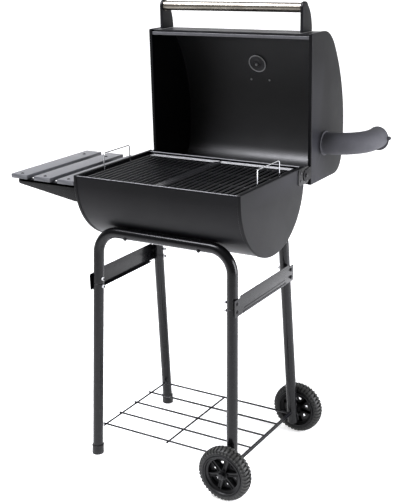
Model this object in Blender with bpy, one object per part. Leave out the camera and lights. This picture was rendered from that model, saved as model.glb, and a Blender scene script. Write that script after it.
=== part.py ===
"""Barrel charcoal grill on a tube trolley, with a hinged lid standing open.

The barrel is modelled around X = 0, Y = 0, with X along the barrel, -Y at the front where the
cook stands, and Z = 0 on the ground. Everything hangs on one empty, which is moved at the end so
that the world origin is under the middle of the whole grill. Lengths are in metres.
"""

from math import cos, pi, radians, sin, sqrt

import bmesh
import bpy
from mathutils import Matrix, Vector

# Sheet metal and clearances
SHEET = 0.0012
PLATE = 0.0015
GAP = 0.0003
CUT_REACH = 0.010

# Facets round the circles
TUBE_SIDES = 12
FASTENER_SIDES = 10
DISC_SIDES = 20
CHIMNEY_SIDES = 18
TYRE_SIDES = 30
WIRE_SIDES = 6

# Firebox: half a barrel with short upright side walls
FIREBOX_LENGTH = 0.552
CAP_FLANGE = 0.011
CAP_STEP = 0.0015
HALF_WIDTH = 0.193
SIDE_WALL = 0.026
RIM_Z = 0.885

# Air inlets and their disc, on the left end of the firebox
AIR_INLET_DROP = 0.118
AIR_INLETS = 3
AIR_INLET_RADIUS = 0.011
AIR_INLET_CIRCLE = 0.026
AIR_DISC_RADIUS = 0.044
AIR_PIVOT_RADIUS = 0.003
AIR_KNOB_INSET = 0.007
AIR_KNOB_RADIUS = 0.006
AIR_KNOB_LENGTH = 0.017

# Lid, described closed: depth runs forward from its rear edge, height runs up from its rim
LID_LENGTH = 0.5604
LID_DEPTH = 0.442
LID_FRONT_OVERHANG = 0.014
LID_LIFT = 0.003
LID_TOP = 0.236
LID_ARC_RADIUS = 0.46
LID_ARC_CENTRE = 0.145
LID_REAR_CORNER = 0.048
LID_FRONT_CORNER = 0.040
LID_OPEN_ANGLE = radians(90)
LIP_DEPTH = 0.0145
LIP_FRONT_HEIGHT = 0.016
LIP_REAR_HEIGHT = 0.011

# Lid hinge
HINGE_Y = 0.198
HINGE_Z = 0.857
HINGE_PIN_RADIUS = 0.003
HINGE_PIN_HEAD = 0.0065
HINGE_PIN_HEAD_HEIGHT = 0.0028
EAR_RADIUS = 0.018
EAR_OVERLAP = 0.020
BRACKET_FRONT_Y = 0.150
BRACKET_REAR_Y = 0.2175
BRACKET_LOW_Z = 0.833
BRACKET_CORNER = 0.007
BRACKET_THICKNESS = 0.0018
BRACKET_RIVET_Y = 0.166
BRACKET_RIVET_Z = (0.846, 0.870)
BRACKET_RIVET_HOLE = 0.0028

# Lid handle
FIN_X = 0.240
FIN_THICKNESS = 0.010
HANDLE_RADIUS = 0.014
HANDLE_WALL = 0.001
HANDLE_REACH = 0.069
HANDLE_HEIGHT = 0.031
FIN_LOW = 0.012
FIN_HIGH = 0.075
FIN_MARGIN = 0.004

# Thermometer and badge plate on the front slope of the lid
THERMOMETER_DEPTH = 0.327
THERMOMETER_RADIUS = 0.030
THERMOMETER_CASE_HEIGHT = 0.013
THERMOMETER_RIM = 0.004
THERMOMETER_STEM = 0.004
PROBE_LENGTH = 0.012
LOCKNUT_RADIUS = 0.030
NEEDLE_TAIL = 0.006
NEEDLE_HALF_WIDTH = 0.0014
NEEDLE_THICKNESS = 0.0008
NEEDLE_REST = radians(-45)
BADGE_DEPTH = 0.272
BADGE_HALF_LENGTH = 0.045
BADGE_HALF_WIDTH = 0.014
BADGE_CORNER = 0.006
BADGE_THICKNESS = 0.0016
BADGE_PIN_SPACING = 0.065
BADGE_PIN_RADIUS = 0.0015
BADGE_PIN_LENGTH = 0.0084

# Chimney elbow on the right end of the lid
CHIMNEY_DEPTH = 0.110
CHIMNEY_HEIGHT = 0.097
CHIMNEY_RADIUS = 0.033
CHIMNEY_BEND = 0.105
CHIMNEY_STUB = 0.006
CHIMNEY_RISE = 0.042
CHIMNEY_FLANGE = 0.004
CHIMNEY_CAP_OVERHANG = 0.002
CHIMNEY_CAP_REST = radians(-9)
CHIMNEY_PIVOT_REACH = 0.0375
CHIMNEY_LUG_RADIUS = 0.0055
CHIMNEY_LUG_HEIGHT = 0.008
CHIMNEY_PIN_RADIUS = 0.0015

# Cooking grates and charcoal tray
GRATE_DROP = 0.007
GRATE_THICKNESS = 0.006
GRATE_SLOTS = 17
GRATE_BAR_SHARE = 0.42
GRATE_HALF_WIDTH = 0.184
GRATE_END = 0.250
GRATE_SPLIT = 0.001
GRATE_SIDE_BORDER = 0.009
GRATE_END_BAND = 0.016
GRATE_RIB_Y = 0.0585
GRATE_RIB_WIDTH = 0.007
RAIL_WIDTH = 0.016
RAIL_HEIGHT = 0.013
TRAY_DEPTH = 0.105
TRAY_HALF_LENGTH = 0.244
TRAY_HALF_WIDTH = 0.126
TRAY_SLOTS = 14
TRAY_SLOT_SHARE = 0.6
TRAY_BORDER = 0.020
TRAY_SLOT_ROW = 0.085
TRAY_SPINE = 0.010
TRAY_LIP_REACH = 0.014
TRAY_LIP_HEIGHT = 0.030
TRAY_HANDLE_X = 0.2575
TRAY_HANDLE_HALF = 0.066
TRAY_HANDLE_RISE = 0.041
TRAY_WIRE_RADIUS = 0.002
TRAY_WIRE_BEND = 0.008
TRAY_HOOK = 0.004

# Trolley frame: tube legs that spread towards the ground
TUBE_RADIUS = 0.016
TUBE_WALL = 0.0012
FRAME_TOP_Z = 0.7156
FRAME_TOP_X = 0.226
FRAME_TOP_Y = 0.151
FOOT_X = 0.241
FOOT_Y = 0.201
FRAME_BEND = 0.070
JOINT_Z = 0.553
SPIGOT_LENGTH = 0.045
SADDLE_BOLT_X = 0.124
SADDLE_BOLT_RADIUS = 0.003
SADDLE_BOLT_HEAD = 0.0055
SADDLE_BOLT_NUT = 0.005
LEFT_LEG_END = 0.0035
RIGHT_LEG_END = 0.046
FOOT_CAP_HEIGHT = 0.030
FOOT_CAP_WALL = 0.0017
FOOT_CAP_FLOOR = 0.0022
BRACE_BOTTOM_Z = 0.533
BRACE_HEIGHT = 0.056
BRACE_INNER_X = 0.2463
BRACE_HALF_LENGTH = 0.1815
BRACE_WEB_HALF = 0.150
BRACE_TAB_STEP = 0.006
BRACE_CHAMFER = 0.005
BRACE_FOLD = 0.011
BRACE_FOLD_HALF = 0.132

# Wheels and axle
WHEEL_RADIUS = 0.0805
RIM_RADIUS = 0.060
WHEEL_WIDTH = 0.040
WHEEL_INNER_Y = 0.2165
WHEEL_SPOKES = 6
WHEEL_HUB_RADIUS = 0.015
WHEEL_RIM_DEPTH = 0.012
TYRE_SHOULDER = 0.006
AXLE_RADIUS = 0.005
AXLE_END = 0.003
AXLE_CAP_RADIUS = 0.011
AXLE_CAP_HEIGHT = 0.0075

# Wire shelf between the legs
WIRE_SHELF_Z = 0.0885
WIRE_RADIUS = 0.0025
WIRE_PITCH = 0.084
LONG_WIRES = 5
WIRE_TIP = 0.008
CROSS_WIRE_X = (-0.230, 0.003, 0.2405)
WIRE_SHELF_LEFT = -0.2365
WIRE_SHELF_RIGHT = 0.2465

# Side shelf of three slats
SLAT_WIDTH = 0.062
SLAT_GAP = 0.026
SLAT_THICKNESS = 0.013
SLAT_HALF_LENGTH = 0.186
SLAT_CORNER = 0.0025
SLATS = 3
SHELF_REACH = 0.520
SHELF_TOP_Z = 0.864
SHELF_BRACKET_Y = 0.1795
SHELF_REAR_BRACKET_Y = 0.1435
SHELF_BRACKET_INSET = 0.022
SHELF_BRACKET_DEPTH = 0.0505
SHELF_BRACKET_TIP = 0.0155
SHELF_BRACKET_CHAMFER = 0.0055
SHELF_FLANGE = 0.020
SHELF_LEDGE = 0.018

CAP_X = FIREBOX_LENGTH / 2
LID_CAP_X = LID_LENGTH / 2
LID_REAR_Y = LID_DEPTH - HALF_WIDTH - LID_FRONT_OVERHANG
LID_RIM_Z = RIM_Z + LID_LIFT
AIR_INLET_Z = RIM_Z - AIR_INLET_DROP


# ---- materials -------------------------------------------------------------------------------


def material(name, colour, roughness, metallic=0.0):
    made = bpy.data.materials.new(name)
    made.use_nodes = True
    shader = made.node_tree.nodes["Principled BSDF"]
    shader.inputs["Base Color"].default_value = (*colour, 1.0)
    shader.inputs["Roughness"].default_value = roughness
    shader.inputs["Metallic"].default_value = metallic
    made.diffuse_color = (*colour, 1.0)
    return made


# ---- scene helpers ---------------------------------------------------------------------------


def clear_scene():
    for leftover in list(bpy.data.objects):
        bpy.data.objects.remove(leftover, do_unlink=True)


def make_empty(name, at, parent=None, turn=None):
    """An empty at a point of the model; its children keep their places in the model."""
    empty = bpy.data.objects.new(name, None)
    bpy.context.scene.collection.objects.link(empty)
    empty["at"] = tuple(at)
    empty.location = Vector(at)
    if parent is not None:
        empty.parent = parent
        empty.location = Vector(at) - Vector(parent["at"])
    if turn is not None:
        empty.rotation_euler = turn
    return empty


def make_object(name, shape, finish, parent):
    """One object from (vertices, faces) given in the model's coordinates."""
    vertices, faces = shape
    builder = bmesh.new()
    corners = [builder.verts.new(vertex) for vertex in vertices]
    for face in faces:
        builder.faces.new([corners[index] for index in face])
    bmesh.ops.recalc_face_normals(builder, faces=builder.faces)
    mesh = bpy.data.meshes.new(name)
    builder.to_mesh(mesh)
    builder.free()
    mesh.shade_smooth()
    mesh.set_sharp_from_angle(angle=radians(35))
    mesh.materials.append(finish)
    made = bpy.data.objects.new(name, mesh)
    bpy.context.scene.collection.objects.link(made)
    made.parent = parent
    made.location = -Vector(parent["at"])
    return made


def make_helper(name, shape, parent):
    """A shape that only cuts or joins, and isn't a piece of the grill."""
    helper = make_object(name, shape, bpy.data.materials["helper"], parent)
    helper.hide_render = True
    helper.display_type = "WIRE"
    return helper


def boolean(target, other, operation):
    modifier = target.modifiers.new(other.name, "BOOLEAN")
    modifier.operation = operation
    modifier.object = other
    modifier.solver = "EXACT"


def cut(target, name, shape, parent):
    boolean(target, make_helper(name, shape, parent), "DIFFERENCE")


def join(target, name, shape, parent):
    boolean(target, make_helper(name, shape, parent), "UNION")


# ---- shapes ----------------------------------------------------------------------------------


def arc(centre, radius, start, end, steps):
    """Points on a circle in a plane, from one angle to another."""
    points = []
    for step in range(steps + 1):
        angle = start + (end - start) * step / steps
        points.append((centre[0] + radius * cos(angle), centre[1] + radius * sin(angle)))
    return points


def rounded_box_outline(low, high, radius, steps=3):
    """A rectangle with round corners, as a closed outline."""
    points = []
    points += arc((high[0] - radius, high[1] - radius), radius, 0, pi / 2, steps)
    points += arc((low[0] + radius, high[1] - radius), radius, pi / 2, pi, steps)
    points += arc((low[0] + radius, low[1] + radius), radius, pi, 1.5 * pi, steps)
    points += arc((high[0] - radius, low[1] + radius), radius, 1.5 * pi, 2 * pi, steps)
    return points


def offset_path(points, distance, closed):
    """The same path moved sideways to its left by a distance, with mitred corners."""
    moved = []
    count = len(points)
    for index in range(count):
        here = Vector(points[index])
        before = Vector(points[index - 1]) if closed or index > 0 else None
        after = Vector(points[(index + 1) % count]) if closed or index < count - 1 else None
        sides = []
        if before is not None:
            sides.append((here - before).normalized())
        if after is not None:
            sides.append((after - here).normalized())
        normals = [Vector((-side.y, side.x)) for side in sides]
        middle = sum(normals, Vector((0, 0))).normalized()
        moved.append(tuple(here + middle * (distance / middle.dot(normals[0]))))
    return moved


def place(axis, along, u, v):
    """A point from its distance along an axis and its two coordinates across it."""
    if axis == "X":
        return (along, u, v)
    if axis == "Y":
        return (u, along, v)
    return (u, v, along)


def prism(outline, start, end, axis="X"):
    """A solid bar with the same closed outline at both ends."""
    count = len(outline)
    vertices = [place(axis, along, u, v) for along in (start, end) for u, v in outline]
    faces = [list(range(count)), list(range(count, 2 * count))]
    for index in range(count):
        after = (index + 1) % count
        faces.append([index, after, count + after, count + index])
    return vertices, faces


def box(low, high):
    outline = [(low[1], low[2]), (high[1], low[2]), (high[1], high[2]), (low[1], high[2])]
    return prism(outline, low[0], high[0])


def cup(outline, wall, outside, inside, tip):
    """A pressed end cap along X: a flat plate with a flange all round its edge."""
    inner = offset_path(outline, wall, closed=True)
    count = len(outline)
    rings = [(outline, outside), (outline, tip), (inner, tip), (inner, inside)]
    vertices = [(x, u, v) for ring, x in rings for u, v in ring]
    faces = [list(range(count)), list(range(3 * count, 4 * count))]
    for ring in range(3):
        for index in range(count):
            after = (index + 1) % count
            low = ring * count
            faces.append([low + index, low + after, low + count + after, low + count + index])
    return vertices, faces


def rounded_path(points, radius, steps):
    """A path in space whose inner corners are arcs of one radius."""
    points = [Vector(point) for point in points]
    path = [points[0]]
    for before, corner, after in zip(points, points[1:], points[2:]):
        back = (before - corner).normalized()
        forth = (after - corner).normalized()
        half = back.angle(forth) / 2
        reach = radius / (sin(half) / cos(half))
        centre = corner + (back + forth).normalized() * (radius / sin(half))
        first = corner + back * reach - centre
        turn = first.rotation_difference(corner + forth * reach - centre)
        for step in range(steps + 1):
            share = turn.copy()
            share.angle = turn.angle * step / steps
            path.append(centre + share @ first)
    path.append(points[-1])
    return path


def swept(path, outer, inner=None, sides=TUBE_SIDES):
    """A round rod, or a tube when it has an inner radius, that follows a path.

    A radius is one number, or one for each point of the path."""
    path = [Vector(point) for point in path]
    last = len(path) - 1
    outer = outer if isinstance(outer, list) else [outer] * (last + 1)
    inner = inner if isinstance(inner, list) or inner is None else [inner] * (last + 1)
    rings = []
    tangent = (path[1] - path[0]).normalized()
    across = tangent.orthogonal().normalized()
    for index, point in enumerate(path):
        before = (point - path[index - 1]).normalized() if index > 0 else None
        after = (path[index + 1] - point).normalized() if index < last else None
        if before is None:
            direction = after
        elif after is None:
            direction = before
        else:
            direction = (before + after).normalized()
        across = (across - direction * across.dot(direction)).normalized()
        upright = direction.cross(across)
        rings.append((point, across.copy(), upright))

    def circle(radii):
        found = []
        for (point, across_here, upright_here), radius in zip(rings, radii):
            for side in range(sides):
                angle = 2 * pi * (side + 0.3) / sides
                found.append(point + (across_here * cos(angle) + upright_here * sin(angle)) * radius)
        return found

    vertices = circle(outer)
    faces = []
    layers = [0]
    if inner is not None:
        layers.append(len(vertices))
        vertices += circle(inner)
    for base in layers:
        for ring in range(last):
            for side in range(sides):
                after_side = (side + 1) % sides
                low = base + ring * sides
                high = low + sides
                faces.append([low + side, low + after_side, high + after_side, high + side])
    for ring in (0, last):
        start = ring * sides
        if inner is None:
            faces.append(list(range(start, start + sides)))
            continue
        for side in range(sides):
            after_side = (side + 1) % sides
            hole = layers[1] + start
            faces.append([start + side, start + after_side, hole + after_side, hole + side])
    return vertices, faces


def turned(profile, centre, axis, sides=FASTENER_SIDES):
    """A lathe-turned solid: a closed profile of (radius, distance along the axis)."""
    centre = Vector(centre)
    axis = Vector(axis).normalized()
    across = axis.orthogonal().normalized()
    upright = axis.cross(across)
    vertices = []
    rings = []
    for radius, along in profile:
        start = len(vertices)
        middle = centre + axis * along
        if radius < 1e-9:
            vertices.append(middle)
            rings.append([start])
            continue
        for side in range(sides):
            angle = 2 * pi * side / sides
            vertices.append(middle + (across * cos(angle) + upright * sin(angle)) * radius)
        rings.append(list(range(start, start + sides)))
    faces = []
    for one, other in zip(rings, rings[1:] + rings[:1]):
        for side in range(sides):
            after = (side + 1) % sides
            if len(one) == 1 and len(other) == 1:
                break
            if len(one) == 1:
                faces.append([one[0], other[side], other[after]])
            elif len(other) == 1:
                faces.append([one[side], one[after], other[0]])
            else:
                faces.append([one[side], one[after], other[after], other[side]])
    return vertices, faces


def rod(start, end, radius, sides=FASTENER_SIDES):
    return swept([start, end], radius, sides=sides)


def cells(columns, rows, is_solid, point, closed=False):
    """A flat lattice: the cells of a grid that are solid, given a top and a bottom.

    point(column, row, side) places a grid corner; a closed grid joins its last column to its
    first, as the spokes of a wheel do."""
    index_of = {}
    vertices = []
    faces = []

    def corner(column, row, side):
        column = column % columns if closed else column
        key = (column, row, side)
        if key not in index_of:
            index_of[key] = len(vertices)
            vertices.append(point(column, row, side))
        return index_of[key]

    def solid(column, row):
        if closed:
            column %= columns
        elif not 0 <= column < columns:
            return False
        return 0 <= row < rows and is_solid(column, row)

    for column in range(columns):
        for row in range(rows):
            if not solid(column, row):
                continue
            square = [(column, row), (column + 1, row), (column + 1, row + 1), (column, row + 1)]
            for side in (0, 1):
                faces.append([corner(a, b, side) for a, b in square])
            edges = [((0, 1), (0, -1)), ((1, 2), (1, 0)), ((2, 3), (0, 1)), ((3, 0), (-1, 0))]
            for (first, second), (right, up) in edges:
                if solid(column + right, row + up):
                    continue
                a, b = square[first], square[second]
                wall = [corner(*a, 0), corner(*b, 0), corner(*b, 1), corner(*a, 1)]
                faces.append(wall)
    return vertices, faces


# ---- outlines of the barrel and the lid --------------------------------------------------------


def firebox_path(steps=18):
    """The firebox section from the front rim, down round the belly, to the rear rim, as (y, z)."""
    belly = arc((0.0, RIM_Z - SIDE_WALL), HALF_WIDTH, pi, 2 * pi, steps)
    return [(-HALF_WIDTH, RIM_Z), *belly, (HALF_WIDTH, RIM_Z)]


def lid_height(depth):
    """Height of the lid's arched top above its rim, at a distance forward of its rear edge."""
    across = depth - LID_ARC_CENTRE
    return LID_TOP - LID_ARC_RADIUS + sqrt(LID_ARC_RADIUS**2 - across**2)


def blend(first, corner, last, steps):
    """A soft corner: a curve that leaves towards the corner and arrives from it."""
    points = []
    for step in range(steps + 1):
        t = step / steps
        points.append(
            tuple(
                (1 - t) ** 2 * a + 2 * t * (1 - t) * b + t**2 * c
                for a, b, c in zip(first, corner, last)
            )
        )
    return points


def lid_path():
    """The closed lid's section from its rear rim, up and over, to its front rim, as (y, z)."""
    arch_steps = 8
    corner_steps = 4
    rear_corner = (0.0, lid_height(0.0))
    rear_start = (0.0, rear_corner[1] - LID_REAR_CORNER)
    rear_end = (LID_REAR_CORNER, lid_height(LID_REAR_CORNER))
    profile = [(0.0, 0.0)]
    profile += blend(rear_start, rear_corner, rear_end, corner_steps)
    front_end = LID_DEPTH - LID_FRONT_CORNER
    for step in range(1, arch_steps):
        depth = LID_REAR_CORNER + (front_end - LID_REAR_CORNER) * step / arch_steps
        profile.append((depth, lid_height(depth)))
    front_corner = (LID_DEPTH, lid_height(LID_DEPTH))
    front_start = (LID_DEPTH, front_corner[1] - LID_FRONT_CORNER)
    profile += blend((front_end, lid_height(front_end)), front_corner, front_start, corner_steps)
    profile.append((LID_DEPTH, 0.0))
    return [(LID_REAR_Y - depth, LID_RIM_Z + height) for depth, height in profile]


def lid_surface(depth):
    """Point and outward direction of the lid's skin, halfway between its ends."""
    point = Vector((0, LID_REAR_Y - depth, LID_RIM_Z + lid_height(depth)))
    across = depth - LID_ARC_CENTRE
    outward = Vector((0, -across, sqrt(LID_ARC_RADIUS**2 - across**2))).normalized()
    return point - outward * CAP_STEP, outward


def leg_point(side_x, side_y, z):
    """A point on a leg's centre line at a height."""
    share = 1 - z / FRAME_TOP_Z
    x = FRAME_TOP_X + (FOOT_X - FRAME_TOP_X) * share
    y = FRAME_TOP_Y + (FOOT_Y - FRAME_TOP_Y) * share
    return Vector((side_x * x, side_y * y, z))


# ---- firebox ---------------------------------------------------------------------------------


def sheet_outline(path, inward):
    """A bent sheet's section: the path stepped in under the end caps, and its other face."""
    outer = offset_path(path, inward * CAP_STEP, closed=False)
    inner = offset_path(path, inward * (CAP_STEP + SHEET), closed=False)
    return outer + inner[::-1]


def make_firebox(root, steel):
    path = firebox_path()
    half = CAP_X - SHEET - GAP
    outline = sheet_outline(path, 1)
    rim = RIM_Z - CAP_STEP
    outline = [(u, min(v, rim)) for u, v in outline]
    wrap = make_object("firebox_wrap", prism(outline, -half, half), steel, root)
    for side, label in ((-1, "left"), (1, "right")):
        shape = cup(path, SHEET, side * CAP_X, side * (CAP_X - SHEET), side * (CAP_X - CAP_FLANGE))
        cap = make_object(f"firebox_{label}_end", shape, steel, root)
        if side < 0:
            cut_air_holes(cap, "end", root)
        cut_rivet_holes(cap, side, f"end_{label}", root)
    for side_x in (-1, 1):
        for side_y, label in ((-1, "front"), (1, "rear")):
            cut(wrap, f"cut_saddle_{label}_{side_x}", saddle_bolt_hole(side_x, side_y), root)


def air_inlet_centres():
    """The air holes stand on a circle round the disc's pivot, on the left end."""
    found = []
    for index in range(AIR_INLETS):
        angle = pi / 2 + 2 * pi * index / AIR_INLETS
        y = AIR_INLET_CIRCLE * cos(angle)
        z = AIR_INLET_Z + AIR_INLET_CIRCLE * sin(angle)
        found.append((y, z))
    return found


def cut_air_holes(piece, label, parent):
    """The same pattern of holes goes through the firebox end and through the disc on it."""
    outside = -CAP_X - CUT_REACH
    inside = -CAP_X + CUT_REACH
    for index, (y, z) in enumerate(air_inlet_centres()):
        hole = rod((outside, y, z), (inside, y, z), AIR_INLET_RADIUS)
        cut(piece, f"cut_{label}_air_{index}", hole, parent)
    pivot = rod((outside, 0, AIR_INLET_Z), (inside, 0, AIR_INLET_Z), AIR_PIVOT_RADIUS + GAP)
    cut(piece, f"cut_{label}_pivot", pivot, parent)


def make_air_disc(root, steel, bright):
    """A rotating disc with three holes of its own and a small pull knob; the holes line up."""
    pivot = make_empty("air_disc_axis", (-CAP_X, 0, AIR_INLET_Z), root)
    outside = -CAP_X - GAP
    outer_face = (outside - PLATE, 0, AIR_INLET_Z)
    shape = rod((outside, 0, AIR_INLET_Z), outer_face, AIR_DISC_RADIUS, DISC_SIDES)
    disc = make_object("air_disc", shape, steel, pivot)
    cut_air_holes(disc, "disc", pivot)
    neck = AIR_KNOB_RADIUS / 2
    knob = [
        (0, PLATE / 2),
        (neck, PLATE / 2),
        (neck, AIR_KNOB_LENGTH / 2),
        (AIR_KNOB_RADIUS, AIR_KNOB_LENGTH * 0.65),
        (AIR_KNOB_RADIUS, AIR_KNOB_LENGTH),
        (0, AIR_KNOB_LENGTH),
    ]
    knob_z = AIR_INLET_Z - AIR_DISC_RADIUS + AIR_KNOB_INSET
    join(disc, "join_disc_knob", turned(knob, (outside, 0, knob_z), (-1, 0, 0)), pivot)
    head = 2 * AIR_PIVOT_RADIUS
    rivet = [
        (0, PLATE + GAP + head / 2),
        (head, PLATE + GAP + head / 2),
        (head, PLATE + GAP),
        (AIR_PIVOT_RADIUS, PLATE + GAP),
        (AIR_PIVOT_RADIUS, -SHEET - 2 * GAP),
        (head, -SHEET - 2 * GAP),
        (head, -SHEET - 2 * GAP - PLATE),
        (0, -SHEET - 2 * GAP - PLATE),
    ]
    make_object("air_disc_rivet", turned(rivet, (outside, 0, AIR_INLET_Z), (-1, 0, 0)), bright, root)


def make_grates(root, iron, steel):
    """Two cooking grates of bars that run front to back, on two rails along the firebox."""
    top = RIM_Z - GRATE_DROP
    bottom = top - GRATE_THICKNESS
    rail_z = bottom - GAP
    for side, label in ((-1, "front"), (1, "rear")):
        wall = HALF_WIDTH - CAP_STEP - SHEET - 2 * GAP
        outline = [
            (side * wall, rail_z - RAIL_HEIGHT),
            (side * wall, rail_z),
            (side * (wall - RAIL_WIDTH), rail_z),
            (side * (wall - RAIL_WIDTH), rail_z - PLATE),
            (side * (wall - PLATE), rail_z - PLATE),
            (side * (wall - PLATE), rail_z - RAIL_HEIGHT),
        ]
        rail = prism(outline, -GRATE_END, GRATE_END)
        make_object(f"grate_rail_{label}", rail, steel, root)
    for side, label in ((-1, "left"), (1, "right")):
        low, high = (-GRATE_END, -GRATE_SPLIT) if side < 0 else (GRATE_SPLIT, GRATE_END)
        pitch = (high - low - 2 * GRATE_SIDE_BORDER) / (GRATE_SLOTS - GRATE_BAR_SHARE)
        columns = [low]
        for slot in range(GRATE_SLOTS):
            start = low + GRATE_SIDE_BORDER + slot * pitch
            columns += [start, start + pitch * (1 - GRATE_BAR_SHARE)]
        columns.append(high)
        half_rows = [GRATE_RIB_Y - GRATE_RIB_WIDTH / 2, GRATE_RIB_Y + GRATE_RIB_WIDTH / 2]
        half_rows += [GRATE_HALF_WIDTH - GRATE_END_BAND, GRATE_HALF_WIDTH]
        rows = [-row for row in reversed(half_rows)] + half_rows

        def solid(column, row):
            """Bars run the whole way; the rows with even numbers are end bands and ribs."""
            return column % 2 == 0 or (row % 2 == 0)

        def corner(column, row, level, columns=columns, rows=rows):
            return (columns[column], rows[row], top if level else bottom)

        lift = make_empty(f"grate_{label}_lift_axis", ((low + high) / 2, 0, bottom), root)
        shape = cells(len(columns) - 1, len(rows) - 1, solid, corner)
        make_object(f"cooking_grate_{label}", shape, iron, lift)


def make_charcoal_tray(root, steel, chrome):
    """A shallow sheet tray with ash slots, lifted by a wire handle at each end."""
    lift = make_empty("charcoal_tray_axis", (0, 0, RIM_Z - TRAY_DEPTH), root)
    floor = RIM_Z - TRAY_DEPTH
    columns = [-TRAY_HALF_LENGTH]
    pitch = 2 * (TRAY_HALF_LENGTH - TRAY_BORDER) / TRAY_SLOTS
    margin = pitch * (1 - TRAY_SLOT_SHARE) / 2
    for slot in range(TRAY_SLOTS):
        start = -TRAY_HALF_LENGTH + TRAY_BORDER + slot * pitch
        columns += [start + margin, start + pitch - margin]
    columns.append(TRAY_HALF_LENGTH)
    half_rows = [TRAY_SPINE, TRAY_SLOT_ROW, TRAY_HALF_WIDTH]
    rows = [-row for row in reversed(half_rows)] + half_rows

    def solid(column, row):
        return column % 2 == 0 or row % 2 == 0

    def corner(column, row, level):
        return (columns[column], rows[row], floor + (PLATE if level else 0))

    shape = cells(len(columns) - 1, len(rows) - 1, solid, corner)
    tray = make_object("charcoal_tray", shape, steel, lift)
    for side, label in ((-1, "front"), (1, "rear")):
        foot = side * (TRAY_HALF_WIDTH - PLATE)
        tip = side * (TRAY_HALF_WIDTH + TRAY_LIP_REACH)
        lip = [
            (foot - side * PLATE, floor + PLATE / 2),
            (tip, floor + TRAY_LIP_HEIGHT),
            (tip + side * PLATE, floor + TRAY_LIP_HEIGHT),
            (foot + side * PLATE, floor - PLATE / 3),
        ]
        reach = TRAY_HALF_LENGTH - PLATE
        join(tray, f"join_tray_{label}", prism(lip, -reach, reach), lift)
    for side, label in ((-1, "left"), (1, "right")):
        hook = side * (TRAY_HALF_LENGTH - TRAY_HOOK)
        x = side * TRAY_HANDLE_X
        half = TRAY_HANDLE_HALF
        low = floor - TRAY_WIRE_RADIUS - GAP
        path = rounded_path(
            [
                (hook, -half, low),
                (x, -half, low),
                (x, -half, RIM_Z + TRAY_HANDLE_RISE),
                (x, half, RIM_Z + TRAY_HANDLE_RISE),
                (x, half, low),
                (hook, half, low),
            ],
            TRAY_WIRE_BEND,
            3,
        )
        wire = swept(path, TRAY_WIRE_RADIUS, sides=WIRE_SIDES)
        make_object(f"tray_handle_{label}", wire, chrome, lift)


# ---- lid -------------------------------------------------------------------------------------


def make_lid(root, steel):
    """The lid's shell, modelled closed and held open by its hinge empty."""
    hinge = make_empty(
        "lid_axis", (0, HINGE_Y, HINGE_Z), root, turn=(-LID_OPEN_ANGLE, 0, 0)
    )
    path = lid_path()
    half = LID_CAP_X - SHEET - GAP
    outline = sheet_outline(path, 1)
    rim = LID_RIM_Z + CAP_STEP
    outline = [(u, max(v, rim)) for u, v in outline]
    wrap = make_object("lid_wrap", prism(outline, -half, half), steel, hinge)
    point, outward = lid_surface(THERMOMETER_DEPTH)
    reach = outward * CUT_REACH
    hole = rod(point - reach, point + reach, THERMOMETER_STEM + GAP)
    cut(wrap, "cut_thermometer", hole, hinge)
    for index, (base, upward) in enumerate(badge_pins()):
        reach = upward * CUT_REACH
        hole = rod(base - reach, base + reach, BADGE_PIN_RADIUS + GAP)
        cut(wrap, f"cut_badge_{index}", hole, hinge)
    for side, label in ((-1, "left"), (1, "right")):
        x = side * LID_CAP_X
        shape = cup(path, SHEET, x, x - side * SHEET, x - side * CAP_FLANGE)
        cap = make_object(f"lid_{label}_end", shape, steel, hinge)
        join(cap, f"join_ear_{label}", ear_shape(side), hinge)
        reach = Vector((CUT_REACH, 0, 0))
        at = Vector((x, HINGE_Y, HINGE_Z))
        cut(cap, f"cut_ear_{label}", rod(at - reach, at + reach, HINGE_PIN_RADIUS + GAP), hinge)
        if side > 0:
            at = chimney_start()
            bore = rod(at - reach, at + reach, CHIMNEY_RADIUS - CHIMNEY_FLANGE, CHIMNEY_SIDES)
            cut(cap, "cut_smoke_hole", bore, hinge)
    front = LID_REAR_Y - LID_DEPTH + CAP_STEP + SHEET + GAP
    back = front + LIP_DEPTH
    low = LID_RIM_Z + 2 * CAP_STEP
    channel = [
        (front, LID_RIM_Z + LIP_FRONT_HEIGHT),
        (front, low),
        (back, low),
        (back, LID_RIM_Z + LIP_REAR_HEIGHT),
        (back - SHEET, LID_RIM_Z + LIP_REAR_HEIGHT),
        (back - SHEET, low + SHEET),
        (front + SHEET, low + SHEET),
        (front + SHEET, LID_RIM_Z + LIP_FRONT_HEIGHT),
    ]
    inside = LID_CAP_X - CAP_FLANGE - SHEET
    make_object("lid_front_stiffener", prism(channel, -inside, inside), steel, hinge)
    return hinge


def ear_shape(side):
    """The round-ended ear that carries a lid end on its hinge pin."""
    inner = LID_CAP_X - SHEET * 1.5
    outline = [(HINGE_Y + EAR_RADIUS, LID_RIM_Z + EAR_OVERLAP)]
    outline += [(HINGE_Y - EAR_RADIUS, LID_RIM_Z + EAR_OVERLAP)]
    outline += arc((HINGE_Y, HINGE_Z), EAR_RADIUS, pi, 2 * pi, FASTENER_SIDES)
    return prism(outline, side * inner, side * (inner + PLATE))


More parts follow.
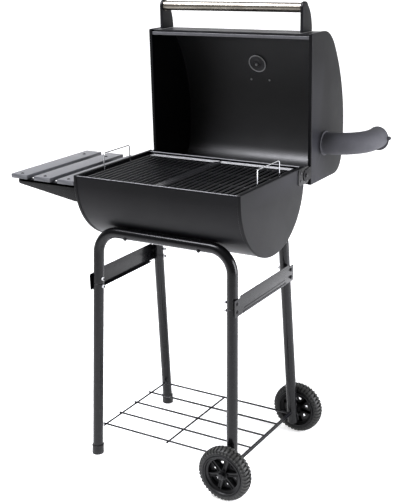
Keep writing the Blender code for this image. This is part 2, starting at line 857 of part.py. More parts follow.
def make_hinge_hardware(root, steel, bright):
    """A bracket on each firebox end, and the pin that the lid's ear turns on."""
    for side, label in ((-1, "left"), (1, "right")):
        low = (BRACKET_FRONT_Y, BRACKET_LOW_Z)
        high = (BRACKET_REAR_Y, RIM_Z - CAP_STEP)
        outline = rounded_box_outline(low, high, BRACKET_CORNER)
        inner = CAP_X + GAP
        shape = prism(outline, side * inner, side * (inner + BRACKET_THICKNESS))
        bracket = make_object(f"hinge_bracket_{label}", shape, steel, root)
        reach = Vector((CUT_REACH, 0, 0))
        at = Vector((side * CAP_X, HINGE_Y, HINGE_Z))
        hole = rod(at - reach, at + reach, HINGE_PIN_RADIUS + GAP)
        cut(bracket, f"cut_bracket_{label}", hole, root)
        cut_rivet_holes(bracket, side, f"bracket_{label}", root)
        collar = (HINGE_PIN_RADIUS + HINGE_PIN_HEAD) / 2
        head = LID_CAP_X + 2 * GAP
        pin = [
            (0, CAP_X - PLATE),
            (collar, CAP_X - PLATE),
            (collar, CAP_X),
            (HINGE_PIN_RADIUS, CAP_X),
            (HINGE_PIN_RADIUS, head),
            (HINGE_PIN_HEAD, head),
            (HINGE_PIN_HEAD * 0.8, head + HINGE_PIN_HEAD_HEIGHT),
            (0, head + HINGE_PIN_HEAD_HEIGHT),
        ]
        shape = turned(pin, (0, HINGE_Y, HINGE_Z), (side, 0, 0))
        make_object(f"hinge_pin_{label}", shape, bright, root)


def cut_rivet_holes(piece, side, label, root):
    """Two rivets hold a hinge bracket on the firebox end, through holes in both."""
    for index, z in enumerate(BRACKET_RIVET_Z):
        at = Vector((side * CAP_X, BRACKET_RIVET_Y, z))
        reach = Vector((CUT_REACH, 0, 0))
        cut(piece, f"cut_rivet_{label}_{index}", rod(at - reach, at + reach, BRACKET_RIVET_HOLE), root)


def make_handle(hinge, steel, stainless):
    """A stainless tube between two tapered fins on the lid's front wall."""
    wall = LID_REAR_Y - LID_DEPTH - GAP
    bar_y = wall - HANDLE_REACH
    bar_z = LID_RIM_Z + HANDLE_HEIGHT
    tip = HANDLE_RADIUS + FIN_MARGIN
    outline = [(wall, LID_RIM_Z + FIN_HIGH), (wall, LID_RIM_Z + FIN_LOW)]
    outline += arc((bar_y, bar_z), tip, 1.5 * pi, 0.60 * pi, 9)
    for side, label in ((-1, "left"), (1, "right")):
        low = side * (FIN_X - FIN_THICKNESS / 2)
        high = side * (FIN_X + FIN_THICKNESS / 2)
        make_object(f"handle_bracket_{label}", prism(outline, low, high), steel, hinge)
    half = FIN_X - FIN_THICKNESS / 2 - GAP
    ends = [(-half, bar_y, bar_z), (half, bar_y, bar_z)]
    tube = swept(ends, HANDLE_RADIUS, HANDLE_RADIUS - HANDLE_WALL, CHIMNEY_SIDES)
    make_object("handle_tube", tube, stainless, hinge)


def make_thermometer(hinge, steel, bright, dial, glass, red):
    """A dial thermometer: the case outside, a dished locknut and the probe inside the lid."""
    point, outward = lid_surface(THERMOMETER_DEPTH)
    edge = THERMOMETER_RADIUS
    well = THERMOMETER_RADIUS - THERMOMETER_RIM
    top = GAP + THERMOMETER_CASE_HEIGHT
    floor = GAP + THERMOMETER_CASE_HEIGHT * 0.45
    case = [
        (0, GAP),
        (well, GAP),
        (edge, GAP + THERMOMETER_CASE_HEIGHT * 0.2),
        (edge, top - SHEET),
        ((edge + well) / 2, top),
        (well, top - SHEET),
        (well, floor),
        (0, floor),
    ]
    shape = turned(case, point, outward, DISC_SIDES)
    make_object("thermometer_case", shape, bright, hinge)
    face = well - 2 * GAP
    dial_top = floor + GAP + NEEDLE_THICKNESS
    disc = [(0, floor + GAP), (face, floor + GAP), (face, dial_top), (0, dial_top)]
    make_object("thermometer_dial", turned(disc, point, outward, DISC_SIDES), dial, hinge)
    lens_low = top - 2 * SHEET
    lens = [(0, lens_low), (face, lens_low), (face, lens_low + SHEET), (0, lens_low + SHEET)]
    make_object("thermometer_glass", turned(lens, point, outward, DISC_SIDES), glass, hinge)
    make_needle(hinge, red, point + outward * (dial_top + GAP), outward, face)
    arch_drop = LOCKNUT_RADIUS**2 / (2 * LID_ARC_RADIUS)
    inside = -SHEET - 3 * GAP - arch_drop
    bore = THERMOMETER_STEM + GAP
    stem = [
        (0, -SHEET),
        (THERMOMETER_STEM, -SHEET),
        (THERMOMETER_STEM, inside - PROBE_LENGTH + THERMOMETER_STEM),
        (THERMOMETER_STEM / 2, inside - PROBE_LENGTH),
        (0, inside - PROBE_LENGTH),
    ]
    make_object("thermometer_probe", turned(stem, point, outward), bright, hinge)
    dish = 2 * PLATE
    boss = 2 * bore
    washer = [
        (bore, inside),
        (LOCKNUT_RADIUS - PLATE, inside),
        (LOCKNUT_RADIUS, inside - PLATE),
        (LOCKNUT_RADIUS - PLATE, inside - dish),
        (LOCKNUT_RADIUS - dish, inside - PLATE),
        (boss + PLATE, inside - PLATE),
        (boss, inside - 2 * dish),
        (bore, inside - 2 * dish),
    ]
    make_object("thermometer_locknut", turned(washer, point, outward, DISC_SIDES), steel, hinge)


def make_needle(hinge, red, middle, outward, face):
    """A flat pointer that turns on the middle of the dial; it rests at the cold end."""
    pivot = make_empty("needle_axis", middle, hinge)
    right = Vector((1, 0, 0))
    uphill = outward.cross(right)
    length = face * 0.85
    tip = NEEDLE_HALF_WIDTH * 0.4
    flat = [(-NEEDLE_HALF_WIDTH, NEEDLE_TAIL), (NEEDLE_HALF_WIDTH, NEEDLE_TAIL)]
    flat += [(tip, -length), (-tip, -length)]
    turn = Matrix.Rotation(NEEDLE_REST, 3, outward)
    shape = plate_on(flat, middle, turn @ right, turn @ uphill, outward, NEEDLE_THICKNESS)
    make_object("thermometer_needle", shape, red, pivot)


def plate_on(outline, at, right, uphill, outward, thickness):
    """A flat plate with a closed outline, lying on a slanted plane."""
    vertices = []
    for level in (0, thickness):
        vertices += [at + right * u + uphill * v + outward * level for u, v in outline]
    return vertices, prism(outline, 0, 1)[1]


def badge_pins():
    """The foot of each badge pin on the lid, and the way it points."""
    point, outward = lid_surface(BADGE_DEPTH)
    spread = Vector((BADGE_PIN_SPACING / 2, 0, 0))
    return [(point - spread, outward), (point + spread, outward)]


def make_badge_plate(hinge, bright):
    """A blank plate on two pins that pass through the lid."""
    point, outward = lid_surface(BADGE_DEPTH)
    right = Vector((1, 0, 0))
    low = (-BADGE_HALF_LENGTH, -BADGE_HALF_WIDTH)
    high = (BADGE_HALF_LENGTH, BADGE_HALF_WIDTH)
    outline = rounded_box_outline(low, high, BADGE_CORNER)
    at = point + outward * 2 * GAP
    shape = plate_on(outline, at, right, outward.cross(right), outward, BADGE_THICKNESS)
    plate = make_object("badge_plate", shape, bright, hinge)
    for index, (base, upward) in enumerate(badge_pins()):
        top = base + upward * (2 * GAP + BADGE_THICKNESS / 2)
        pin = rod(top - upward * BADGE_PIN_LENGTH, top, BADGE_PIN_RADIUS)
        join(plate, f"join_badge_pin_{index}", pin, hinge)


def chimney_start():
    return Vector((LID_CAP_X, LID_REAR_Y - CHIMNEY_DEPTH, LID_RIM_Z + CHIMNEY_HEIGHT))


def make_chimney(hinge, steel, bright):
    """A right-angled elbow with a foot flange, and a swivelling cap over its mouth."""
    up = Vector((0, 0, 1))
    start = chimney_start() + Vector((GAP, 0, 0))
    corner = start + Vector((CHIMNEY_STUB + CHIMNEY_BEND, 0, 0))
    mouth = corner + up * (CHIMNEY_BEND + CHIMNEY_RISE)
    path = rounded_path([start, corner, mouth], CHIMNEY_BEND, 8)
    shape = swept(path, CHIMNEY_RADIUS, CHIMNEY_RADIUS - SHEET, CHIMNEY_SIDES)
    elbow = make_object("chimney_elbow", shape, steel, hinge)
    inner = CHIMNEY_RADIUS - SHEET / 2
    outer = CHIMNEY_RADIUS + CHIMNEY_FLANGE
    foot = [(inner, GAP / 2), (outer, GAP / 2), (outer, PLATE), (inner, PLATE)]
    join(elbow, "join_chimney_foot", turned(foot, start, (1, 0, 0), CHIMNEY_SIDES), hinge)
    pivot_at = mouth + Vector((CHIMNEY_PIVOT_REACH, 0, GAP))
    lug_top = pivot_at - up * 2 * GAP
    lug = rod(lug_top - up * CHIMNEY_LUG_HEIGHT, lug_top, CHIMNEY_LUG_RADIUS)
    join(elbow, "join_chimney_lug", lug, hinge)
    pin_hole = rod(pivot_at - up * 2 * CUT_REACH, pivot_at + up * CUT_REACH, CHIMNEY_PIN_RADIUS + GAP)
    cut(elbow, "cut_chimney_lug", pin_hole, hinge)
    pivot = make_empty("chimney_cap_axis", pivot_at, hinge, turn=(0, 0, CHIMNEY_CAP_REST))
    centre = pivot_at - Vector((CHIMNEY_PIVOT_REACH, 0, 0))
    disc = rod(centre, centre + up * SHEET, CHIMNEY_RADIUS + CHIMNEY_CAP_OVERHANG, DISC_SIDES)
    cap = make_object("chimney_cap", disc, steel, pivot)
    tab_half = CHIMNEY_LUG_RADIUS
    tab = rounded_box_outline((-2 * tab_half, -tab_half), (tab_half, tab_half), tab_half * 0.7)
    tab = [(u + pivot_at.x, v + pivot_at.y) for u, v in tab]
    tab_low = pivot_at.z + GAP / 2
    join(cap, "join_cap_tab", prism(tab, tab_low, tab_low + SHEET / 2, "Z"), pivot)
    cut(cap, "cut_cap_tab", pin_hole, pivot)
    top = SHEET + GAP
    radius = CHIMNEY_PIN_RADIUS
    pin = [(0, -CHIMNEY_LUG_HEIGHT / 2), (radius, -CHIMNEY_LUG_HEIGHT / 2), (radius, top)]
    pin += [(2 * radius, top), (2 * radius, top + 2 * radius), (0, top + 2 * radius)]
    make_object("chimney_cap_pin", turned(pin, pivot_at, up), bright, hinge)


# ---- trolley ---------------------------------------------------------------------------------


def saddle_bolt_line(side_x, side_y):
    """A saddle bolt's place on the top tube's centre line, and its way to the barrel's axis."""
    tube = Vector((side_x * SADDLE_BOLT_X, side_y * FRAME_TOP_Y, FRAME_TOP_Z))
    axis = Vector((side_x * SADDLE_BOLT_X, 0, RIM_Z - SIDE_WALL))
    return tube, (axis - tube).normalized()


def saddle_bolt_hole(side_x, side_y):
    centre, towards = saddle_bolt_line(side_x, side_y)
    reach = towards * 2 * TUBE_RADIUS
    return rod(centre - reach, centre + reach, SADDLE_BOLT_RADIUS + GAP)


def make_frame(root, steel, bright):
    """Two bent top frames, four legs plugged on to them, and the saddle bolts."""
    for side_y, label in ((-1, "front"), (1, "rear")):
        make_top_frame(root, steel, side_y, label)
        for side_x, side_label in ((-1, "left"), (1, "right")):
            make_leg(root, steel, side_x, side_y, f"leg_{label}_{side_label}")
            make_saddle_bolt(root, bright, side_x, side_y, f"saddle_bolt_{label}_{side_label}")


def make_top_frame(root, steel, side_y, label):
    """A tube bent over twice, whose ends are drawn in to slide into the legs."""
    shoulder_z = JOINT_Z + 2 * GAP
    swage_z = shoulder_z - PLATE
    end_z = JOINT_Z - SPIGOT_LENGTH
    ends = [[leg_point(side, side_y, z) for z in (end_z, swage_z, shoulder_z)] for side in (-1, 1)]
    corners = [leg_point(side, side_y, FRAME_TOP_Z) for side in (-1, 1)]
    bend = rounded_path([ends[0][2], *corners, ends[1][2]], FRAME_BEND, 5)
    path = [*ends[0][:2], *bend, *reversed(ends[1][:2])]
    thin = TUBE_RADIUS - TUBE_WALL - GAP
    radii = [thin, thin, *[TUBE_RADIUS] * len(bend), thin, thin]
    bores = [radius - TUBE_WALL for radius in radii]
    frame = make_object(f"top_frame_{label}", swept(path, radii, bores), steel, root)
    for side_x in (-1, 1):
        cut(frame, f"cut_frame_{label}_{side_x}", saddle_bolt_hole(side_x, side_y), root)


def make_leg(root, steel, side_x, side_y, name):
    bottom = RIGHT_LEG_END if side_x > 0 else LEFT_LEG_END
    path = [leg_point(side_x, side_y, bottom), leg_point(side_x, side_y, JOINT_Z - PLATE)]
    shape = swept(path, TUBE_RADIUS, TUBE_RADIUS - TUBE_WALL)
    leg = make_object(name, shape, steel, root)
    if side_x > 0:
        middle = leg_point(1, side_y, WHEEL_RADIUS)
        reach = Vector((0, 2 * TUBE_RADIUS, 0))
        hole = rod(middle - reach, middle + reach, AXLE_RADIUS + GAP)
        cut(leg, f"cut_axle_{name}", hole, root)


def make_foot_caps(root, plastic):
    """Moulded caps on the two left legs, flat underneath."""
    for side_y, label in ((-1, "front"), (1, "rear")):
        foot = leg_point(-1, side_y, 0)
        lean = leg_point(-1, side_y, FOOT_CAP_HEIGHT) - foot
        inner = TUBE_RADIUS + 2 * GAP
        outer = inner + FOOT_CAP_WALL
        rings = [(0, outer - PLATE), (PLATE, outer), (FOOT_CAP_HEIGHT, outer)]
        rings += [(FOOT_CAP_HEIGHT, inner), (FOOT_CAP_FLOOR, inner)]
        vertices = []
        for height, radius in rings:
            centre = foot + lean * (height / FOOT_CAP_HEIGHT)
            circle = arc(centre, radius, 0, 2 * pi * (1 - 1 / TUBE_SIDES), TUBE_SIDES - 1)
            vertices += [(x, y, centre.z) for x, y in circle]
        faces = [list(range(TUBE_SIDES)), list(range(4 * TUBE_SIDES, 5 * TUBE_SIDES))]
        for ring in range(len(rings) - 1):
            low = ring * TUBE_SIDES
            high = low + TUBE_SIDES
            for side in range(TUBE_SIDES):
                after = (side + 1) % TUBE_SIDES
                faces.append([low + side, low + after, high + after, high + side])
        make_object(f"foot_cap_{label}", (vertices, faces), plastic, root)


def make_saddle_bolt(root, bright, side_x, side_y, name):
    """A bolt from under the top tube, up through it and the firebox skin, with its nut inside."""
    centre, towards = saddle_bolt_line(side_x, side_y)
    nut = TUBE_RADIUS + 3 * PLATE
    under = -TUBE_RADIUS - 2 * GAP
    bolt = [
        (0, under - SADDLE_BOLT_HEAD * 0.9),
        (SADDLE_BOLT_HEAD, under - SADDLE_BOLT_HEAD * 0.7),
        (SADDLE_BOLT_HEAD, under),
        (SADDLE_BOLT_RADIUS, under),
        (SADDLE_BOLT_RADIUS, nut),
        (SADDLE_BOLT_HEAD, nut),
        (SADDLE_BOLT_HEAD, nut + SADDLE_BOLT_NUT),
        (0, nut + SADDLE_BOLT_NUT),
    ]
    make_object(name, turned(bolt, centre, towards), bright, root)


def make_braces(root, steel):
    """Pressed side plates across the legs, folded in along the bottom, with square tabs."""
    low = BRACE_BOTTOM_Z
    high = BRACE_BOTTOM_Z + BRACE_HEIGHT
    step = high - BRACE_TAB_STEP
    tab = BRACE_HALF_LENGTH
    chamfer = BRACE_CHAMFER
    half = [(BRACE_WEB_HALF, high), (BRACE_WEB_HALF, step), (tab - chamfer, step)]
    half += [(tab, step - chamfer), (tab, low + chamfer), (tab - chamfer, low)]
    outline = half + [(-y, z) for y, z in reversed(half)]
    for side, label in ((-1, "left"), (1, "right")):
        inner = side * BRACE_INNER_X
        plate = prism(outline, inner, inner + side * PLATE)
        brace = make_object(f"side_brace_{label}", plate, steel, root)
        start = (inner - side * BRACE_FOLD, -BRACE_FOLD_HALF, low - GAP)
        end = (inner + side * SHEET, BRACE_FOLD_HALF, low - GAP + PLATE)
        join(brace, f"join_fold_{label}", box(start, end), root)


def make_wheels(root, plastic, rubber, steel, bright):
    """Two spoked wheels with ribbed tyres on one plain axle through the right legs."""
    axle_x = leg_point(1, 1, WHEEL_RADIUS).x
    end = WHEEL_INNER_Y + WHEEL_WIDTH + AXLE_END
    axle = rod((axle_x, -end, WHEEL_RADIUS), (axle_x, end, WHEEL_RADIUS), AXLE_RADIUS)
    make_object("axle", axle, bright, root)
    half = WHEEL_WIDTH / 2
    bead = RIM_RADIUS + GAP
    rib = WHEEL_RADIUS - TYRE_SHOULDER
    tread = [(bead, -half * 0.8), (RIM_RADIUS + TYRE_SHOULDER, -half), (rib, -half * 0.92)]
    tread += [(WHEEL_RADIUS, -half * 0.45)]
    tread += [(radius, -along) for radius, along in reversed(tread)]
    bore = AXLE_RADIUS + GAP
    seat = 2 * GAP
    dome = AXLE_CAP_HEIGHT
    cap = [(0, dome * 0.6), (bore, dome * 0.6), (bore, seat), (AXLE_CAP_RADIUS, seat)]
    cap += [(AXLE_CAP_RADIUS, dome * 0.55), (AXLE_CAP_RADIUS * 0.7, dome * 0.87), (0, dome)]
    for side, label in ((-1, "front"), (1, "rear")):
        inside = side * WHEEL_INNER_Y
        outside = side * (WHEEL_INNER_Y + WHEEL_WIDTH)
        spin = make_empty(f"wheel_{label}_axis", (axle_x, inside, WHEEL_RADIUS), root)
        make_object(f"wheel_{label}", wheel_shape(axle_x, inside, outside), plastic, spin)
        middle = (axle_x, (inside + outside) / 2, WHEEL_RADIUS)
        make_object(f"tyre_{label}", turned(tread, middle, (0, 1, 0), TYRE_SIDES), rubber, spin)
        at = (axle_x, outside, WHEEL_RADIUS)
        make_object(f"axle_cap_{label}", turned(cap, at, (0, side, 0)), steel, root)


def wheel_shape(axle_x, inside, outside):
    """Hub, spokes and rim, as one ring of cells round the axle."""
    radii = [AXLE_RADIUS + GAP, WHEEL_HUB_RADIUS, RIM_RADIUS - WHEEL_RIM_DEPTH, RIM_RADIUS]
    per_spoke = TYRE_SIDES // WHEEL_SPOKES

    def solid(column, row):
        """The hub and the rim run all the way round; one cell of each group is a spoke."""
        return row != 1 or column % per_spoke == 0

    def corner(column, row, level):
        angle = 2 * pi * column / TYRE_SIDES
        radius = radii[row]
        y = outside if level else inside
        return (axle_x + radius * cos(angle), y, WHEEL_RADIUS + radius * sin(angle))

    return cells(TYRE_SIDES, 3, solid, corner, closed=True)


def make_wire_shelf(root, steel):
    """A welded wire shelf: long wires over cross wires, hung between the legs and the axle."""
    half = WIRE_RADIUS
    columns = [WIRE_SHELF_LEFT]
    for x in CROSS_WIRE_X:
        columns += [x - half, x + half]
    columns.append(WIRE_SHELF_RIGHT)
    outermost = WIRE_PITCH * (LONG_WIRES - 1) / 2
    rows = [-outermost - WIRE_TIP]
    for index in range(LONG_WIRES):
        y = -outermost + WIRE_PITCH * index
        rows += [y - half, y + half]
    rows.append(outermost + WIRE_TIP)

    def solid(column, row):
        return row % 2 == 1 or column % 2 == 1

    def corner(column, row, level):
        return (columns[column], rows[row], WIRE_SHELF_Z + (half if level else -half))

    shape = cells(len(columns) - 1, len(rows) - 1, solid, corner)
    make_object("wire_shelf", shape, steel, root)


# ---- side shelf ------------------------------------------------------------------------------


def make_side_shelf(root, wood, steel):
    """Slats that run front to back on two wedge brackets on the left end."""
    for index in range(SLATS):
        left = -SHELF_REACH + index * (SLAT_WIDTH + SLAT_GAP)
        low = (left, SHELF_TOP_Z - SLAT_THICKNESS)
        high = (left + SLAT_WIDTH, SHELF_TOP_Z)
        outline = rounded_box_outline(low, high, SLAT_CORNER, 2)
        shape = prism(outline, -SLAT_HALF_LENGTH, SLAT_HALF_LENGTH, "Y")
        make_object(f"shelf_slat_{index + 1}", shape, wood, root)
    under = SHELF_TOP_Z - SLAT_THICKNESS - GAP
    inner = -CAP_X - GAP
    tip = -SHELF_REACH + SHELF_BRACKET_INSET
    heel = tip + SHELF_BRACKET_CHAMFER
    wedge = [(inner, under - SHELF_BRACKET_DEPTH), (inner, under), (tip, under)]
    wedge += [(tip, under - SHELF_BRACKET_TIP * 0.65), (heel, under - SHELF_BRACKET_TIP)]
    for side, label, y in ((-1, "front", -SHELF_BRACKET_Y), (1, "rear", SHELF_REAR_BRACKET_Y)):
        plate = prism(wedge, y, y - side * PLATE, "Y")
        bracket = make_object(f"shelf_bracket_{label}", plate, steel, root)
        face = y - side * PLATE / 2
        low = (tip + SHEET, face, under - PLATE)
        high = (inner - SHEET, y - side * SHELF_LEDGE, under - GAP)
        join(bracket, f"join_ledge_{label}", box(low, high), root)
        low = (inner - PLATE, face, under - SHELF_BRACKET_DEPTH + 2 * PLATE)
        high = (inner - GAP, y - side * SHELF_FLANGE, under - 2 * PLATE)
        join(bracket, f"join_flange_{label}", box(low, high), root)


# ---- the whole grill -------------------------------------------------------------------------


def centre_over_origin(root):
    """Moves the grill so that the origin is under the middle of its bounding box."""
    bpy.context.view_layer.update()
    graph = bpy.context.evaluated_depsgraph_get()
    corners = []
    for piece in bpy.context.scene.objects:
        if piece.type == "MESH" and not piece.hide_render:
            shown = piece.evaluated_get(graph)
            corners += [shown.matrix_world @ Vector(corner) for corner in shown.bound_box]
    for axis in (0, 1):
        values = [corner[axis] for corner in corners]
        root.location[axis] = -(min(values) + max(values)) / 2


def main():
    clear_scene()
    material("helper", (0.8, 0.2, 0.8), 0.5)
    steel = material("black_painted_steel", (0.022, 0.022, 0.024), 0.42)
    heat_paint = material("heat_proof_paint", (0.03, 0.03, 0.033), 0.5)
    iron = material("black_enamel_grate", (0.03, 0.03, 0.03), 0.35)
    bright = material("bright_steel", (0.55, 0.55, 0.56), 0.3, 1.0)
    chrome = material("chromed_wire", (0.72, 0.72, 0.73), 0.15, 1.0)
    stainless = material("stainless_tube", (0.6, 0.58, 0.55), 0.28, 1.0)
    plastic = material("black_plastic", (0.025, 0.025, 0.027), 0.5)
    rubber = material("tyre_rubber", (0.02, 0.02, 0.02), 0.75)
    slat = material("slat_paint", (0.06, 0.06, 0.065), 0.45)
    dial = material("dial_white", (0.85, 0.85, 0.83), 0.5)
    glass = material("dial_glass", (0.9, 0.93, 0.93), 0.05)
    red = material("needle_red", (0.6, 0.03, 0.02), 0.4)

    root = make_empty("grill", (0, 0, 0))
    make_firebox(root, heat_paint)
    make_air_disc(root, steel, bright)
    make_grates(root, iron, steel)
    make_charcoal_tray(root, steel, chrome)
    hinge = make_lid(root, heat_paint)
    make_hinge_hardware(root, steel, bright)
    make_handle(hinge, steel, stainless)
    make_thermometer(hinge, steel, bright, dial, glass, red)
    make_badge_plate(hinge, bright)
    make_chimney(hinge, steel, bright)
    make_frame(root, steel, bright)
    make_foot_caps(root, plastic)
    make_braces(root, steel)
    make_wheels(root, plastic, rubber, steel, bright)
    make_wire_shelf(root, steel)
    make_side_shelf(root, slat, steel)
    centre_over_origin(root)


main()
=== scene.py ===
"""Barrel charcoal grill on a tube trolley: the finished look over the grill's own frame.

X runs along the barrel from the side shelf to the chimney, -Y is the cook's side, Z = 0 is the
ground. Lengths are in metres. The lid stands open.
"""

from math import atan2, cos, pi, radians, sin, sqrt

import bmesh
import bpy
from bpy.props import FloatProperty, FloatVectorProperty, IntProperty, PointerProperty
from bpy.types import Operator, Panel, PropertyGroup
from mathutils import Matrix, Vector


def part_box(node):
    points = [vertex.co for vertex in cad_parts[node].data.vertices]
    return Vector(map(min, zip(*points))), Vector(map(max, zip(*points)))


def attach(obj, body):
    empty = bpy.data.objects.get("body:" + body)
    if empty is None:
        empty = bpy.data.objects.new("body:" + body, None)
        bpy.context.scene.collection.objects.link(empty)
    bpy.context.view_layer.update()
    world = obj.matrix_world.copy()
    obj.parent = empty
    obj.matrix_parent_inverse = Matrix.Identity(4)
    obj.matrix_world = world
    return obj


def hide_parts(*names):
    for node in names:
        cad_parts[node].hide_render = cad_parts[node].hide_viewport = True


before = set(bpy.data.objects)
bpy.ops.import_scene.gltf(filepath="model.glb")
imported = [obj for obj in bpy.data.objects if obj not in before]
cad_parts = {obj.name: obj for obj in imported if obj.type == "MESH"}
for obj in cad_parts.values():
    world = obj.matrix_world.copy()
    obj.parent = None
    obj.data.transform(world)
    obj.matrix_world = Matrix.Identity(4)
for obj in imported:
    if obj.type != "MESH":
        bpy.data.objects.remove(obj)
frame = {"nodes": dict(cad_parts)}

bl_info = {
    "name": "Barrel Charcoal Grill",
    "version": (1, 0, 0),
    "blender": (4, 5, 0),
    "location": "3D View > Sidebar > Grill",
    "description": "Builds the shown pieces of a barrel charcoal grill, and a plain studio",
    "category": "Object",
}

GAP = 0.0003
UP = Vector((0, 0, 1))
SIDES_X = (("left", -1), ("right", 1))
SIDES_Y = (("front", -1), ("rear", 1))

# How far the rolled skins of firebox and lid lie inside the flanges of their end plates
WRAP_INSET = 0.0015

# Air inlet in the firebox's left end
AIR_DISC_RADIUS = 0.044
AIR_HOLE_CIRCLE = 0.026
AIR_HOLE_RADIUS = 0.011

# Cooking grates: the flat bar at the seam, the band of cross wires at the rear, the ribs below
GRATE_STRIP = 0.010
GRATE_REAR_BAND = 0.026
GRATE_REAR_WIRES = (0.0085, 0.017)
GRATE_RIBS_Y = (-0.0485, -0.1654)

# The lid's arched top, measured from its rear edge (depth) and its rim (height)
LID_TOP = 0.236
LID_ARC_RADIUS = 0.46
LID_ARC_CENTRE = 0.145
LID_REAR_CORNER = 0.048
LID_FRONT_CORNER = 0.040
THERMOMETER_DEPTH = 0.327
THERMOMETER_RADIUS = 0.030
BADGE_DEPTH = 0.272
BADGE_HALF_LENGTH = 0.045
BADGE_HALF_WIDTH = 0.014

# The smoke hole, measured in the same way, and the chimney on it
SMOKE_HOLE_DEPTH = 0.110
SMOKE_HOLE_HEIGHT = 0.097
SMOKE_HOLE_RADIUS = 0.029
CHIMNEY_RADIUS = 0.033
CHIMNEY_SHEET = 0.0012
CHIMNEY_BEND = 0.105
CHIMNEY_STUB = 0.006
CAP_RADIUS = 0.035

# Trolley: distances from the barrel's middle
FRAME_TOP_Z = 0.7156
FRAME_TOP_X = 0.226
FRAME_TOP_Y = 0.151
FOOT_X = 0.241
FOOT_Y = 0.201
JOINT_Z = 0.553
SADDLE_X = 0.124
BARREL_AXIS_Z = 0.859
BRACE_BOLT_Y = 0.166
BRACE_BOLT_TAIL = -0.0445
AXLE_RADIUS = 0.005
AXLE_HOLE = 0.0053
TYRE_RADIUS = 0.0805
SHELF_WIRE_SPACING = 0.084
SHELF_CROSS_X = (-0.230, 0.003)
SHELF_END_X = 0.2405

# Studio: (name, place, target, width, height, power in watts) of each softbox
SOFTBOXES = (
    ("right_softbox", (3.2, 0.9, 1.3), (0.1, 0.0, 0.8), 1.8, 2.2, 175),
    ("top_softbox", (-1.0, -0.9, 3.2), (0.2, 0.2, 0.9), 1.9, 1.4, 190),
)
SOFTBOX_COLOUR = (0.93, 0.935, 1.0)
WORLD_STRENGTH = 0.22
PAPER_GLOW = 0.62
CAMERA_AZIMUTH = radians(31.579)
CAMERA_ELEVATION = radians(17.698)
CAMERA_ROLL = radians(-1.409)
CAMERA_LENS = 87.81
CAMERA_PLACE = Vector((1.52733, -2.47116, 1.52727))


def web_colour(code):
    """A colour written as six hexadecimal digits, as three display values."""
    return tuple(int(code[index : index + 2], 16) / 255 for index in (0, 2, 4))


def linear(colour):
    """Display colour to the linear values that shader sockets hold."""
    return (*(part / 12.92 if part <= 0.04045 else ((part + 0.055) / 1.055) ** 2.4 for part in colour), 1)


def length(name, description, default):
    """A size of the panel, in metres."""
    return FloatProperty(name=name, description=description, default=default, unit="LENGTH", precision=4)


def colour(name, description, code):
    """A display colour of the panel."""
    shown = web_colour(code)
    return FloatVectorProperty(
        name=name, description=description, subtype="COLOR_GAMMA", size=3, min=0, max=1, default=shown
    )


class GrillSizes(PropertyGroup):
    """Sizes of what the frame leaves open: sheet edges, bends, wires and fasteners."""

    sheet: length("Sheet", "Thickness of the rolled sheet", 0.0012)
    rim_roll: length("Rim roll", "Radius of the rolled rim of the firebox", 0.0019)
    cap_fillet: length("End fillet", "Radius between an end plate and its flange", 0.0030)
    rim_corner: length("Rim corner", "Radius of an end plate's corner at the rim", 0.0035)
    grate_wire: length("Grate bar", "Radius of a bar of the cooking grates", 0.0030)
    grate_pitch: length("Grate pitch", "Distance from bar to bar", 0.0190)
    tray_wire: length("Tray handle wire", "Radius of the charcoal tray's handles", 0.0016)
    shelf_wire: length("Shelf wire", "Radius of the bottom shelf's long wires", 0.0029)
    shelf_end_wire: length("Shelf end wire", "Radius of the bottom shelf's right bar", 0.0034)
    tube: length("Trolley tube", "Outer radius of the legs and top frames", 0.016)
    frame_bend: length("Frame bend", "Radius of the top frames' bends", 0.070)
    plate_edge: length("Plate edge", "Rounding of a pressed plate's edges", 0.0005)
    fin_edge: length("Fin edge", "Rounding of the handle fins' edges", 0.0024)
    slat_edge: length("Slat edge", "Rounding of the shelf slats", 0.0020)
    lug_height: length("Lug height", "How far the tyre's lugs stand up", 0.0045)
    lugs: IntProperty(name="Lugs", description="Lugs on each shoulder of a tyre", default=42, min=8)
    dial_marks: IntProperty(name="Dial marks", description="Marks round the full dial", default=40, min=4)


class GrillColours(PropertyGroup):
    """Display colours of the finishes."""

    barrel: colour("Barrel paint", "Heat-proof paint on the firebox and lid", "070709")
    # The chimney's lighter grey on the barrel's own paint is painted light
    chimney: colour("Chimney paint", "Heat-proof paint on the chimney, sprayed dry", "434347")
    inside: colour("Inside paint", "The same paint inside, baked on and sooty", "08080A")
    frame: colour("Frame paint", "Powder coat on tubes, plates and wires", "0C0C0E")
    grate: colour("Grate enamel", "Glossy black enamel", "18181A")
    zinc: colour("Zinc", "Zinc plated fasteners", "B9BABC")
    chrome: colour("Chrome", "Chromed wire", "D9DADC")
    stainless: colour("Stainless", "Brushed stainless handle tube", "8A857C")
    plastic: colour("Plastic", "Moulded black plastic", "0A0A0B")
    rubber: colour("Rubber", "Tyres", "0D0E0E")
    slat: colour("Slats", "Painted wood", "444549")
    dial: colour("Dial", "Enamelled dial", "E9E7DF")
    mark: colour("Marks", "Printed dial marks", "1B1B1D")
    needle: colour("Needle", "Painted needle", "B0201A")
    floor: colour("Floor", "Studio floor", "FAFAFA")


# ---- node trees --------------------------------------------------------------------------------


def add_node(tree, kind, inputs=None, **settings):
    """One node: settings are its properties, inputs are values or the sockets it is linked from."""
    made = tree.nodes.new(kind)
    for key, value in settings.items():
        setattr(made, key, value)
    for key, value in (inputs or {}).items():
        socket = made.inputs[key]
        if isinstance(value, bpy.types.NodeSocket):
            tree.links.new(value, socket)
        else:
            socket.default_value = value
    return made


def multiply_add(tree, value, factor, addend=0.0):
    """value * factor + addend"""
    inputs = {0: value, 1: factor, 2: addend}
    return add_node(tree, "ShaderNodeMath", inputs, operation="MULTIPLY_ADD").outputs[0]


